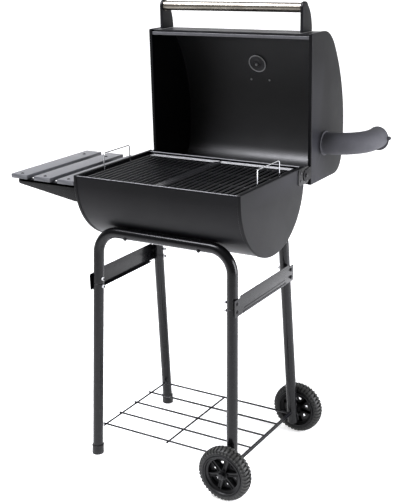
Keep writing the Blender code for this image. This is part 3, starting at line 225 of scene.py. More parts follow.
def mix_colours(tree, share, first, second):
    """The first colour where share is 0, the second where it is 1."""
    inputs = {"Factor": share, 6: first, 7: second}
    return add_node(tree, "ShaderNodeMix", inputs, data_type="RGBA").outputs[2]


def noise(tree, where, scale, **inputs):
    """Noise of a scale at a place, from 0 to 1."""
    inputs = {"Vector": where, "Scale": scale, **inputs}
    return add_node(tree, "ShaderNodeTexNoise", inputs).outputs["Fac"]


def map_range(tree, value, **inputs):
    """A value mapped from one range to another; ranges are 0 to 1 where nothing else is said."""
    named = {key.replace("_", " ").title(): number for key, number in inputs.items()}
    return add_node(tree, "ShaderNodeMapRange", {"Value": value, **named}).outputs[0]


def blank_material(name):
    """A new material with an empty tree, and object coordinates to start from."""
    made = bpy.data.materials.new(name)
    made.use_nodes = True
    tree = made.node_tree
    tree.nodes.clear()
    return made, tree, add_node(tree, "ShaderNodeTexCoord").outputs["Object"]


def close_material(tree, inputs):
    """The shader and the output at the end of a material's tree."""
    shader = add_node(tree, "ShaderNodeBsdfPrincipled", inputs)
    add_node(tree, "ShaderNodeOutputMaterial", {"Surface": shader.outputs[0]})


def geometry_tree(name, sockets):
    """An empty geometry tree with named inputs and one output; returns tree, input node."""
    tree = bpy.data.node_groups.new(name, "GeometryNodeTree")
    for label, kind in sockets:
        tree.interface.new_socket(name=label, in_out="INPUT", socket_type=kind)
    tree.interface.new_socket(name="Geometry", in_out="OUTPUT", socket_type="NodeSocketGeometry")
    return tree, tree.nodes.new("NodeGroupInput").outputs


def close_tree(tree, given, geometry):
    """The end of every repeat: real geometry, one finish, and out."""
    real = add_node(tree, "GeometryNodeRealizeInstances", {"Geometry": geometry})
    finished = add_node(
        tree, "GeometryNodeSetMaterial", {"Geometry": real.outputs[0], "Material": given["Material"]}
    )
    add_node(tree, "NodeGroupOutput", {"Geometry": finished.outputs[0]})
    return tree


def make_wire_tree():
    """Round wire along every line of a mesh, with bends of one radius at its corners."""
    tree, given = geometry_tree(
        "Round wire",
        [
            ("Lines", "NodeSocketGeometry"),
            ("Radius", "NodeSocketFloat"),
            ("Bend", "NodeSocketFloat"),
            ("Sides", "NodeSocketInt"),
            ("Material", "NodeSocketMaterial"),
        ],
    )
    line = add_node(tree, "GeometryNodeMeshToCurve", {"Mesh": given["Lines"]})
    bent = add_node(
        tree,
        "GeometryNodeFilletCurve",
        {"Curve": line.outputs[0], "Radius": given["Bend"], "Count": 5, "Limit Radius": True},
        mode="POLY",
    )
    ring = add_node(
        tree, "GeometryNodeCurvePrimitiveCircle", {"Radius": given["Radius"], "Resolution": given["Sides"]}
    )
    wire = add_node(
        tree,
        "GeometryNodeCurveToMesh",
        {"Curve": bent.outputs[0], "Profile Curve": ring.outputs[0], "Fill Caps": True},
    )
    return close_tree(tree, given, wire.outputs[0])


def make_copies_tree():
    """One copy of a fastener on every point of a mesh, its Z turned along the point's aim."""
    tree, given = geometry_tree(
        "Copies on points",
        [
            ("Points", "NodeSocketGeometry"),
            ("Piece", "NodeSocketObject"),
            ("Material", "NodeSocketMaterial"),
        ],
    )
    piece = add_node(tree, "GeometryNodeObjectInfo", {"Object": given["Piece"]})
    aim = add_node(tree, "GeometryNodeInputNamedAttribute", {"Name": "aim"}, data_type="FLOAT_VECTOR")
    turn = add_node(tree, "FunctionNodeAlignRotationToVector", {"Vector": aim.outputs[0]}, axis="Z")
    copies = add_node(
        tree,
        "GeometryNodeInstanceOnPoints",
        {"Points": given["Points"], "Instance": piece.outputs["Geometry"], "Rotation": turn.outputs[0]},
    )
    return close_tree(tree, given, copies.outputs[0])


def make_ring_tree():
    """Copies of a piece turned evenly about Z."""
    tree, given = geometry_tree(
        "Ring of copies",
        [
            ("Carrier", "NodeSocketGeometry"),
            ("Piece", "NodeSocketObject"),
            ("Count", "NodeSocketInt"),
            ("Step", "NodeSocketFloat"),
            ("Start", "NodeSocketFloat"),
            ("Material", "NodeSocketMaterial"),
        ],
    )
    points = add_node(tree, "GeometryNodePoints", {"Count": given["Count"]})
    piece = add_node(tree, "GeometryNodeObjectInfo", {"Object": given["Piece"]})
    index = add_node(tree, "GeometryNodeInputIndex")
    angle = multiply_add(tree, index.outputs[0], given["Step"], given["Start"])
    euler = add_node(tree, "ShaderNodeCombineXYZ", {"Z": angle})
    turn = add_node(tree, "FunctionNodeEulerToRotation", {"Euler": euler.outputs[0]})
    copies = add_node(
        tree,
        "GeometryNodeInstanceOnPoints",
        {"Points": points.outputs[0], "Instance": piece.outputs["Geometry"], "Rotation": turn.outputs[0]},
    )
    return close_tree(tree, given, copies.outputs[0])


TREE_MAKERS = {
    "Round wire": make_wire_tree,
    "Copies on points": make_copies_tree,
    "Ring of copies": make_ring_tree,
}


def run_tree(name, source, finish, settings):
    """Runs a node tree on a mesh, and returns the plain mesh that it makes in one finish."""
    settings = {"Material": bpy.data.materials[finish], **settings}
    tree = bpy.data.node_groups.get(name) or TREE_MAKERS[name]()
    holder = bpy.data.objects.new("holder", source)
    bpy.context.scene.collection.objects.link(holder)
    modifier = holder.modifiers.new(name, "NODES")
    modifier.node_group = tree
    for item in tree.interface.items_tree:
        if item.in_out == "INPUT" and item.name in settings:
            modifier[item.identifier] = settings[item.name]
    graph = bpy.context.evaluated_depsgraph_get()
    made = bpy.data.meshes.new_from_object(holder.evaluated_get(graph))
    bpy.data.objects.remove(holder)
    if not made.polygons:
        raise RuntimeError(f"the tree {name} made nothing")
    return made


def wires(lines, radius, finish, bend=0.0, sides=10):
    """Round wires along lists of points."""
    mesh = bpy.data.meshes.new("lines")
    points = [point for line in lines for point in line]
    edges = []
    start = 0
    for line in lines:
        edges += [(start + step, start + step + 1) for step in range(len(line) - 1)]
        start += len(line)
    mesh.from_pydata(points, edges, [])
    return run_tree("Round wire", mesh, finish, {"Radius": radius, "Bend": bend, "Sides": sides})


def copies(shape, places, finish):
    """Copies of a small shape, built about +Z, at (point, direction) places."""
    mesh = bpy.data.meshes.new("places")
    mesh.from_pydata([point for point, _ in places], [], [])
    aim = mesh.attributes.new("aim", "FLOAT_VECTOR", "POINT")
    for index, (_, direction) in enumerate(places):
        aim.data[index].vector = direction
    template = bpy.data.objects.new("template", as_mesh("template", shape))
    made = run_tree("Copies on points", mesh, finish, {"Piece": template})
    bpy.data.objects.remove(template)
    return made


def ring_of(shape, count, finish, step=0.0, start=0.0):
    """Copies of a shape turned evenly about +Z."""
    template = bpy.data.objects.new("template", as_mesh("template", shape))
    settings = {"Piece": template, "Count": count, "Step": step or 2 * pi / count, "Start": start}
    made = run_tree("Ring of copies", bpy.data.meshes.new("nothing"), finish, settings)
    bpy.data.objects.remove(template)
    return made


# ---- meshes --------------------------------------------------------------------------------------


def as_mesh(name, shape):
    """A bmesh as a mesh with outward normals, smooth but for its real edges."""
    bmesh.ops.remove_doubles(shape, verts=shape.verts, dist=1e-6)
    bmesh.ops.recalc_face_normals(shape, faces=shape.faces)
    mesh = bpy.data.meshes.new(name)
    shape.to_mesh(mesh)
    shape.free()
    mesh.shade_smooth()
    mesh.set_sharp_from_angle(angle=radians(38))
    return mesh


def add_piece(name, shape, finish, body, slot, *nodes):
    """One finished piece on a body of the frame, in place of its nodes. The shape is a bmesh, or a
    plain mesh from a node tree."""
    if isinstance(shape, bpy.types.Mesh):
        loose = shape
        shape = bmesh.new()
        join_mesh(shape, loose)
    mesh = as_mesh(name, shape)
    mesh.materials.clear()
    mesh.materials.append(bpy.data.materials[finish])
    made = bpy.data.objects.new(name, mesh)
    bpy.context.scene.collection.objects.link(made)
    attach(made, body)
    if nodes:
        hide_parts(*nodes)
    return made


def keep_node(name, finish):
    """A node of the frame that is shown as it is, with a new finish."""
    for place in frame["nodes"][name].material_slots:
        place.material = bpy.data.materials[finish]


def join_mesh(shape, mesh, matrix=None):
    """Adds a plain mesh to a bmesh, and drops the mesh."""
    if matrix is not None:
        mesh.transform(matrix)
    shape.from_mesh(mesh)
    bpy.data.meshes.remove(mesh)


def loft(shape, rings, closed_ends=True, closed_rings=True):
    """Skin over rings of as many points each."""
    rows = [[shape.verts.new(point) for point in ring] for ring in rings]
    count = len(rows[0])
    for low, high in zip(rows, rows[1:]):
        for index in range(count if closed_rings else count - 1):
            after = (index + 1) % count
            shape.faces.new((low[index], low[after], high[after], high[index]))
    if closed_ends:
        shape.faces.new(rows[0])
        shape.faces.new(rows[-1])


def arc(centre, radius, start, end, steps):
    """Points on a circle in a plane, from one angle to another."""
    turn = [start + (end - start) * step / steps for step in range(steps + 1)]
    return [(centre[0] + radius * cos(angle), centre[1] + radius * sin(angle)) for angle in turn]


def offset(points, distance, closed):
    """A path moved to its left by a distance, with mitred corners."""
    moved = []
    count = len(points)
    for index, here in enumerate(points):
        sides = []
        if closed or index > 0:
            sides.append((Vector(here) - Vector(points[index - 1])).normalized())
        if closed or index < count - 1:
            sides.append((Vector(points[(index + 1) % count]) - Vector(here)).normalized())
        normals = [Vector((-side.y, side.x)) for side in sides]
        middle = sum(normals, Vector((0, 0))).normalized()
        moved.append(tuple(Vector(here) + middle * (distance / middle.dot(normals[0]))))
    return moved


def counterclockwise(outline):
    """An outline in the order that runs against the clock."""
    area = sum(a[0] * b[1] - b[0] * a[1] for a, b in zip(outline, outline[1:] + outline[:1]))
    return outline if area > 0 else outline[::-1]


def round_corners(points, radius, closed=True, steps=5, over=radians(30)):
    """A path whose sharp corners become arcs; short sides get smaller arcs."""
    made = []
    count = len(points)
    for index, here in enumerate(points):
        here = Vector(here)
        if not closed and index in (0, count - 1):
            made.append(here)
            continue
        back = Vector(points[index - 1]) - here
        forth = Vector(points[(index + 1) % count]) - here
        half = back.angle(forth) / 2
        if pi - 2 * half < over:
            made.append(here)
            continue
        reach = min(radius * cos(half) / sin(half), 0.49 * back.length, 0.49 * forth.length)
        centre = here + (back.normalized() + forth.normalized()).normalized() * (reach / cos(half))
        first = here + back.normalized() * reach - centre
        last = here + forth.normalized() * reach - centre
        whole = first.angle(last)
        for step in range(steps + 1):
            turn = whole * step / steps
            made.append(centre + (first * sin(whole - turn) + last * sin(turn)) / sin(whole))
    return [tuple(point) for point in made]


def at_plane(axis, along, outline):
    """An outline placed across an axis at a distance."""
    if axis == "X":
        return [(along, u, v) for u, v in outline]
    if axis == "Y":
        return [(u, along, v) for u, v in outline]
    return [(u, v, along) for u, v in outline]


def add_plate(shape, outline, start, end, axis="X", edge=0.0005, steps=3):
    """A solid plate or bar with one outline, whose two faces have rounded edges."""
    outline = counterclockwise(outline)
    side = 1 if end > start else -1
    rings = []
    for step in range(steps + 1):
        turn = pi / 2 * step / steps
        rings.append((edge * (1 - sin(turn)), start + side * edge * (1 - cos(turn))))
    for step in range(steps, -1, -1):
        turn = pi / 2 * step / steps
        rings.append((edge * (1 - sin(turn)), end - side * edge * (1 - cos(turn))))
    loft(shape, [at_plane(axis, along, offset(outline, inset, True)) for inset, along in rings])


def add_strip(shape, path, thickness, start, end, bend=0.002, axis="X"):
    """A bent sheet: a path across the axis, thickened to its left, with rounded bends."""
    path = round_corners(path, bend, closed=False)
    outline = path + offset(path, thickness, False)[::-1]
    loft(shape, [at_plane(axis, along, outline) for along in (start, end)])


def add_tube(shape, path, radius, inner=None, sides=32, edge=0.0004):
    """A round bar or tube along a path; radius and inner are numbers, or lists as long as the path."""
    path = [Vector(point) for point in path]
    count = len(path)
    radii = list(radius) if isinstance(radius, (list, tuple)) else [radius] * count
    frames = []
    across = (path[1] - path[0]).orthogonal().normalized()
    for index, point in enumerate(path):
        ahead = path[min(index + 1, count - 1)]
        behind = path[max(index - 1, 0)]
        before = (point - behind).normalized()
        after = (ahead - point).normalized()
        direction = (before + after).normalized()
        across = (across - direction * across.dot(direction)).normalized()
        frames.append((point, across.copy(), direction.cross(across), direction))

    def ring(place, size, shift=0.0):
        point, sideways, upright, direction = place
        turns = [2 * pi * side / sides for side in range(sides)]
        middle = point + direction * shift
        return [middle + (sideways * cos(turn) + upright * sin(turn)) * size for turn in turns]

    rings = [ring(frames[0], radii[0] - edge)]
    rings.append(ring(frames[0], radii[0], edge))
    rings += [ring(place, size) for place, size in list(zip(frames, radii))[1:-1]]
    rings.append(ring(frames[-1], radii[-1], -edge))
    rings.append(ring(frames[-1], radii[-1] - edge))
    if inner is None:
        loft(shape, rings)
        return
    bores = list(inner) if isinstance(inner, (list, tuple)) else [inner] * count
    rings += [ring(place, size) for place, size in reversed(list(zip(frames, bores)))]
    loft(shape, rings + rings[:1], closed_ends=False)


def add_turned(shape, profile, centre=(0, 0, 0), axis=(0, 0, 1), sides=48):
    """A turned solid: a closed profile of (radius, distance along the axis)."""
    axis = Vector(axis).normalized()
    across = axis.orthogonal().normalized()
    upright = axis.cross(across)
    rows = []
    for radius, along in profile:
        middle = Vector(centre) + axis * along
        if radius < 1e-9:
            rows.append([shape.verts.new(middle)])
            continue
        turns = [2 * pi * side / sides for side in range(sides)]
        rows.append([shape.verts.new(middle + (across * cos(t) + upright * sin(t)) * radius) for t in turns])
    for low, high in zip(rows, rows[1:] + rows[:1]):
        if len(low) == 1 and len(high) == 1:
            continue
        for side in range(sides):
            after = (side + 1) % sides
            corners = [low[side % len(low)], low[after % len(low)]]
            corners += [high[after % len(high)], high[side % len(high)]]
            shape.faces.new(list(dict.fromkeys(corners)))


def turned(profile, centre=(0, 0, 0), axis=(0, 0, 1), sides=48):
    """A turned solid on its own."""
    shape = bmesh.new()
    add_turned(shape, profile, centre, axis, sides)
    return shape


def soft_profile(profile, radius, steps=4):
    """A turned profile with rounded corners; points on the axis stay."""
    made = round_corners(profile, radius, closed=True, steps=steps)
    return [(max(point[0], 0.0), point[1]) for point in made]


def cut_holes(shape, rods):
    """Round holes through a shape: each rod is (start, end, radius)."""
    holder = bpy.data.objects.new("holder", as_mesh("holder", shape))
    bpy.context.scene.collection.objects.link(holder)
    tools = []
    for start, end, radius in rods:
        rod = bmesh.new()
        add_tube(rod, [start, end], radius, sides=40, edge=0.0)
        tool = bpy.data.objects.new("tool", as_mesh("tool", rod))
        bpy.context.scene.collection.objects.link(tool)
        modifier = holder.modifiers.new("hole", "BOOLEAN")
        modifier.operation = "DIFFERENCE"
        modifier.solver = "EXACT"
        modifier.object = tool
        tools.append(tool)
    graph = bpy.context.evaluated_depsgraph_get()
    mesh = bpy.data.meshes.new_from_object(holder.evaluated_get(graph))
    for spent in (holder, *tools):
        bpy.data.objects.remove(spent)
    made = bmesh.new()
    join_mesh(made, mesh)
    return made


def middle_of(node):
    """The middle of a node's box."""
    low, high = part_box(node)
    return (low + high) / 2


# ---- finishes ------------------------------------------------------------------------------------


def make_finish(
    name,
    base,
    shade,
    roughness,
    spread,
    grain,
    depth,
    metallic=0.0,
    stretch=(1.0, 1.0, 1.0),
    worn=None,
    dust_and_sheen=0.0,
    coat=0.0,
    patch=0.09,
    specular=0.5,
):
    """One procedural finish. base and shade are the two colours it wanders between, grain and
    patch are the sizes of its fine and broad unevenness, depth is the height of the grain, and
    worn is the colour that shows where edges are rubbed. Dust, and a painted sheen, lighten the
    faces that point up."""
    made, tree, where = blank_material(name)
    drawn = add_node(tree, "ShaderNodeMapping", {"Vector": where, "Scale": stretch}).outputs[0]
    fine = noise(tree, drawn, 1 / grain, Detail=3.0, Roughness=0.6)
    broad = noise(tree, where, 1 / patch, Detail=5.0, Roughness=0.62)
    mixed = multiply_add(tree, broad, 0.65, multiply_add(tree, fine, 0.35))
    share = map_range(tree, mixed, from_min=0.35, from_max=0.65)
    tint = mix_colours(tree, share, linear(base), linear(shade))
    geometry = add_node(tree, "ShaderNodeNewGeometry")
    if worn is not None:
        edge = map_range(tree, geometry.outputs["Pointiness"], from_min=0.54, from_max=0.66, to_max=0.55)
        tint = mix_colours(tree, multiply_add(tree, edge, broad), tint, linear(worn))
    rough = map_range(tree, share, to_min=roughness - spread, to_max=roughness + spread)
    # Dust, and a painted sheen, lighten the faces that point up toward a light grey
    if dust_and_sheen:
        facing = add_node(tree, "ShaderNodeSeparateXYZ", {"Vector": geometry.outputs["Normal"]}).outputs["Z"]
        upward_lightening = map_range(tree, facing, from_min=0.5, from_max=1.0, to_max=dust_and_sheen)
        upward_lightening = multiply_add(tree, upward_lightening, broad)
        tint = mix_colours(tree, upward_lightening, tint, linear(web_colour("8E8C88")))
        rough = multiply_add(tree, upward_lightening, 0.5, rough)
    bump = add_node(tree, "ShaderNodeBump", {"Strength": 1.0, "Distance": depth, "Height": fine}).outputs[0]
    close_material(
        tree,
        {
            "Base Color": tint,
            "Roughness": rough,
            "Metallic": metallic,
            "Normal": bump,
            "Coat Weight": coat,
            "Coat Roughness": 0.12,
            "Specular IOR Level": specular,
        },
    )
    return made


def make_glass(name):
    """Clear pressed glass with faint specks, light enough to read the dial through."""
    made, tree, where = blank_material(name)
    specks = noise(tree, where, 700.0, Detail=2.0)
    bump = add_node(tree, "ShaderNodeBump", {"Distance": 0.00001, "Height": specks}).outputs[0]
    close_material(
        tree,
        {
            "Base Color": linear(web_colour("F4F8F7")),
            "Roughness": map_range(tree, specks, from_min=0.5, to_min=0.02, to_max=0.14),
            "Transmission Weight": 1.0,
            "IOR": 1.5,
            "Normal": bump,
        },
    )
    return made


def make_finishes(colours):
    """Every finish of the grill, named for what it is."""
    # Heat-proof silicone paint, sprayed on rolled steel and cured: satin, faint orange peel
    make_finish(
        "silicone_heat_paint", colours.barrel, web_colour("050507"), 0.44, 0.04, 0.0016, 0.000012,
        worn=web_colour("3A3A40"), dust_and_sheen=0.01, patch=0.14, specular=0.14,
    )
    # The same paint in a light grey on the crests of the rims and on the lid's lip: a painted highlight, the
    # lit line along them
    make_finish(
        "rubbed_paint", web_colour("4A4A4E"), web_colour("3A3A3D"), 0.32, 0.04, 0.0030, 0.000004,
        patch=0.02, specular=0.7,
    )
    # Plain steel under the fire, black with soot
    make_finish(
        "sooty_steel", web_colour("050505"), web_colour("080807"), 0.85, 0.05, 0.0020, 0.00005,
        patch=0.05, specular=0.08,
    )
    # The same paint inside the lid, burnt in and darkened by smoke
    make_finish(
        "smoked_heat_paint", colours.inside, web_colour("0B0B0E"), 0.46, 0.05, 0.0020, 0.00001,
        patch=0.10, specular=0.9,
    )
    # The same paint on the chimney, sprayed dry, so that it is duller; its lighter grey is painted light,
    # for the light that the chimney catches
    make_finish(
        "dry_sprayed_heat_paint", colours.chimney, web_colour("3C3C40"), 0.72, 0.05, 0.0010, 0.00003,
        worn=web_colour("66666A"), patch=0.05, specular=0.3,
    )
    # Powder coat on tube, plate, wire, bolts and the axle: even, semi-gloss, fine texture
    make_finish(
        "powder_coat", colours.frame, web_colour("070708"), 0.27, 0.03, 0.0012, 0.000006,
        worn=web_colour("2C2C32"), dust_and_sheen=0.01, coat=0.3, specular=0.10,
    )
    # Vitreous enamel on the grates and the locknut: glossy, burnt on
    make_finish(
        "vitreous_enamel", colours.grate, web_colour("121214"), 0.30, 0.03, 0.0060, 0.0000003,
        patch=0.03, specular=0.9,
    )
    # Bright zinc on nuts, rivets, the badge and the thermometer: electroplated, slightly cloudy
    make_finish(
        "bright_zinc", colours.zinc, web_colour("9C9DA0"), 0.30, 0.08, 0.0010, 0.00001,
        metallic=1.0, worn=web_colour("E2E2E4"), patch=0.006,
    )
    # Chromed wire: drawn, bent and plated
    make_finish(
        "chromed_wire", colours.chrome, web_colour("C2C3C6"), 0.13, 0.05, 0.0008, 0.000004,
        metallic=1.0, patch=0.01,
    )
    # Stainless tube, brushed along its length on a belt
    make_finish(
        "brushed_stainless", colours.stainless, web_colour("6F6A62"), 0.28, 0.03, 0.0009, 0.0000003,
        metallic=1.0, stretch=(0.02, 1.0, 1.0), patch=0.05,
    )
    # Injection moulded polypropylene with a spark-eroded grain
    make_finish(
        "moulded_plastic", colours.plastic, web_colour("0C0C0D"), 0.42, 0.05, 0.0007, 0.00001,
        worn=web_colour("2A2B2D"), dust_and_sheen=0.02, patch=0.02, specular=0.25,
    )
    # Black rubber, moulded, with the dull bloom that rubber gets
    make_finish(
        "moulded_rubber", colours.rubber, web_colour("0B0C0C"), 0.50, 0.06, 0.0009, 0.00002,
        worn=web_colour("5A5A55"), dust_and_sheen=0.04, patch=0.02, specular=0.35,
    )
    # Slats of painted wood: the grain telegraphs through two coats, and a painted sheen lightens their tops
    make_finish(
        "painted_wood", colours.slat, web_colour("4C4D51"), 0.42, 0.06, 0.0014, 0.00009,
        stretch=(1.0, 0.05, 1.0), worn=web_colour("8B8B8E"), dust_and_sheen=0.15, patch=0.05,
    )
    # Stove enamelled dial
    make_finish("white_enamel", colours.dial, web_colour("DCD9CE"), 0.35, 0.05, 0.0010, 0.000006, patch=0.01)
    # Screen printed ink
    make_finish("printed_ink", colours.mark, web_colour("161617"), 0.5, 0.05, 0.0005, 0.000006, patch=0.004)
    # Red lacquer on thin sheet
    make_finish(
        "red_lacquer", colours.needle, web_colour("8E1713"), 0.3, 0.05, 0.0006, 0.000006,
        coat=0.4, patch=0.004,
    )
    make_glass("dial_glass")


# ---- firebox -------------------------------------------------------------------------------------


def barrel_path():
    """The firebox section from the front rim, down round the belly, to the rear rim."""
    low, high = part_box("firebox_left_end")
    radius = (high.y - low.y) / 2
    belly = arc((low.y + radius, low.z + radius), radius, pi, 2 * pi, 96)
    walls = [(low.y, high.z - share * (high.z - low.z - radius)) for share in (0, 0.5)]
    return walls + belly + [(low.y + 2 * radius, wall[1]) for wall in reversed(walls)]


def lid_height(depth):
    return LID_TOP - LID_ARC_RADIUS + sqrt(LID_ARC_RADIUS**2 - (depth - LID_ARC_CENTRE) ** 2)


def lid_place(depth, height):
    """A point of the standing lid, as (y, z), from its depth and height when shut."""
    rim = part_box("lid_front_stiffener")[0].y - 0.003
    return (rim + height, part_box("lid_right_end")[0].z + depth)


def lid_path():
    """The open lid's section from its rear rim, over the arch, to its front rim."""
    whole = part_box("lid_right_end")[1].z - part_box("lid_right_end")[0].z

    def corner(first, middle, last):
        found = []
        for step in range(17):
            t = step / 16
            near = (1 - t) ** 2
            between = 2 * t * (1 - t)
            far = t**2
            found.append(tuple(near * a + between * b + far * c for a, b, c in zip(first, middle, last)))
        return found

    rear = lid_height(0.0)
    front = lid_height(whole)
    far = whole - LID_FRONT_CORNER
    path = [(0.0, 0.0), (0.0, rear / 2)]
    rear_arch = (LID_REAR_CORNER, lid_height(LID_REAR_CORNER))
    path += corner((0.0, rear - LID_REAR_CORNER), (0.0, rear), rear_arch)
    steps = 48
    depths = [LID_REAR_CORNER + (far - LID_REAR_CORNER) * step / steps for step in range(1, steps)]
    path += [(depth, lid_height(depth)) for depth in depths]
    path += corner((far, lid_height(far)), (whole, front), (whole, front - LID_FRONT_CORNER))
    path += [(whole, front / 3), (whole, 0.0)]
    return [lid_place(depth, height) for depth, height in path]


def lid_surface(depth):
    """A point on the lid's skin halfway between its ends, and the way out of the lid there."""
    across = depth - LID_ARC_CENTRE
    outward = Vector((0, sqrt(LID_ARC_RADIUS**2 - across**2), across)).normalized()
    y, z = lid_place(depth, lid_height(depth))
    return Vector((middle_of("lid_wrap").x, y, z)) - outward * WRAP_INSET, outward


def add_pressed_end(shape, section, outside, side, sizes):
    """An end plate drawn from sheet: flat, with a filleted flange whose edge is hemmed."""
    fillet = sizes.cap_fillet
    hem = sizes.sheet
    flange = 0.011
    section = round_corners(counterclockwise(section), sizes.rim_corner, over=radians(50))
    rings = []
    for step in range(6):
        turn = pi / 2 * step / 5
        rings.append((fillet * (1 - sin(turn)), fillet * (1 - cos(turn))))
    for step in range(7):
        turn = pi * step / 6
        rings.append((hem * (1 - cos(turn)), flange - hem + hem * sin(turn)))
    rings.append((2 * hem, fillet))
    rings.append((2 * hem + fillet / 2, sizes.sheet))
    placed = [(outside - side * depth, offset(section, inset, True)) for inset, depth in rings]
    loft(shape, [at_plane("X", along, outline) for along, outline in placed])


def rolled_rim(corner, into, upward, radius):
    """The rim of a sheet rolled inwards: from its outer face over the top to its inner face."""
    centre = (corner[0] + into * radius, corner[1] - upward * radius)
    start = pi if into > 0 else 0.0
    turn = -into * upward * 1.30 * pi
    return arc(centre, radius, start, start + turn, 12)


class GRILL_OT_firebox(Operator):
    """Rolled firebox with hemmed end plates, and the air disc on its left end"""

    bl_idname = "grill.firebox"
    bl_label = "Firebox"

    def execute(self, context):
        sizes = context.scene.grill_sizes
        path = barrel_path()
        outer = offset(path, WRAP_INSET, False)
        inner = offset(path, WRAP_INSET + sizes.sheet, False)
        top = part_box("firebox_wrap")[1].z
        front = (outer[0][0], top)
        rear = (outer[-1][0], top)
        section = rolled_rim(front, 1, 1, sizes.rim_roll)[::-1]
        section += outer[1:-1]
        section += rolled_rim(rear, -1, 1, sizes.rim_roll)
        section += inner[1:-1][::-1]
        low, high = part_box("firebox_wrap")
        wrap = bmesh.new()
        loft(wrap, [at_plane("X", x, section) for x in (low.x, middle_of("firebox_wrap").x, high.x)])
        add_piece(
            "firebox_wrap_rolled", wrap, "silicone_heat_paint", "trolley", "heat_paint", "firebox_wrap"
        )
        # Light grey beads on the rims' crests: a painted highlight
        self.build_rim_highlights(front, rear, low.x, high.x)
        disc_at = middle_of("air_disc_rivet")
        holes = []
        for index in range(3):
            angle = pi / 2 + 2 * pi * index / 3
            y = disc_at.y + AIR_HOLE_CIRCLE * cos(angle)
            holes.append(Vector((0, y, disc_at.z + AIR_HOLE_CIRCLE * sin(angle))))
        for name, side in SIDES_X:
            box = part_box(f"firebox_{name}_end")
            outside = box[0].x if side < 0 else box[1].x
            end = bmesh.new()
            add_pressed_end(end, path, outside, side, sizes)
            if side < 0:
                end = self.cut_inlets(end, outside, holes)
            add_piece(
                f"firebox_{name}_end_pressed", end, "silicone_heat_paint", "trolley", "heat_paint",
                f"firebox_{name}_end",
            )
        outer_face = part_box("firebox_left_end")[0].x - GAP
        profile = [(0, 0), (AIR_DISC_RADIUS, 0), (AIR_DISC_RADIUS, 0.0015), (0.040, 0.0015)]
        profile += [(0.0385, 0.0023), (0.037, 0.0015), (0, 0.0015)]
        hub = Vector((outer_face, disc_at.y, disc_at.z))
        disc = self.cut_inlets(turned(profile, hub, (-1, 0, 0), 72), outer_face, holes)
        knob = [(0, 0.0014), (0.003, 0.0014), (0.0032, 0.009), (0.006, 0.011), (0.006, 0.017), (0, 0.017)]
        add_turned(disc, soft_profile(knob, 0.0012), hub - Vector((0, 0, 0.037)), (-1, 0, 0), 32)
        add_piece("air_disc_turned", disc, "powder_coat", "air_disc", "frame_paint", "air_disc")
        head = [(0, -0.0033), (0.006, -0.0033), (0.006, -0.0018), (0.003, -0.0018), (0.003, 0.0018)]
        head += [(0.006, 0.0018), (0.0055, 0.0032), (0.0035, 0.0043), (0, 0.0048)]
        rivet = turned(head, hub, (-1, 0, 0), 32)
        add_piece("air_disc_pivot", rivet, "bright_zinc", "trolley", "bright_zinc", "air_disc_rivet")
        return {"FINISHED"}

    def cut_inlets(self, shape, face, holes):
        """The air holes through a shape near a face of the left end."""
        reach = Vector((0.02, 0, 0))
        start = Vector((face, 0, 0))
        return cut_holes(shape, [(start + at - reach, start + at + reach, AIR_HOLE_RADIUS) for at in holes])

    def build_rim_highlights(self, front, rear, left, right):
        """Light grey beads on the crests of the rims: a painted highlight along them."""
        radius = 0.0021
        level = front[1] - radius + 0.0002
        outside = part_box("firebox_left_end")[0].x + radius
        first = front[0] + radius
        last = rear[0] - radius
        crests = bmesh.new()
        for y in (first, last):
            add_tube(crests, [(x, y, level) for x in (left, 0.0, right)], radius, sides=16)
        add_tube(crests, [(outside, y, level) for y in (first, 0.0, last)], radius, sides=16)
        add_piece("firebox_rim_crests", crests, "rubbed_paint", "trolley", "heat_paint")


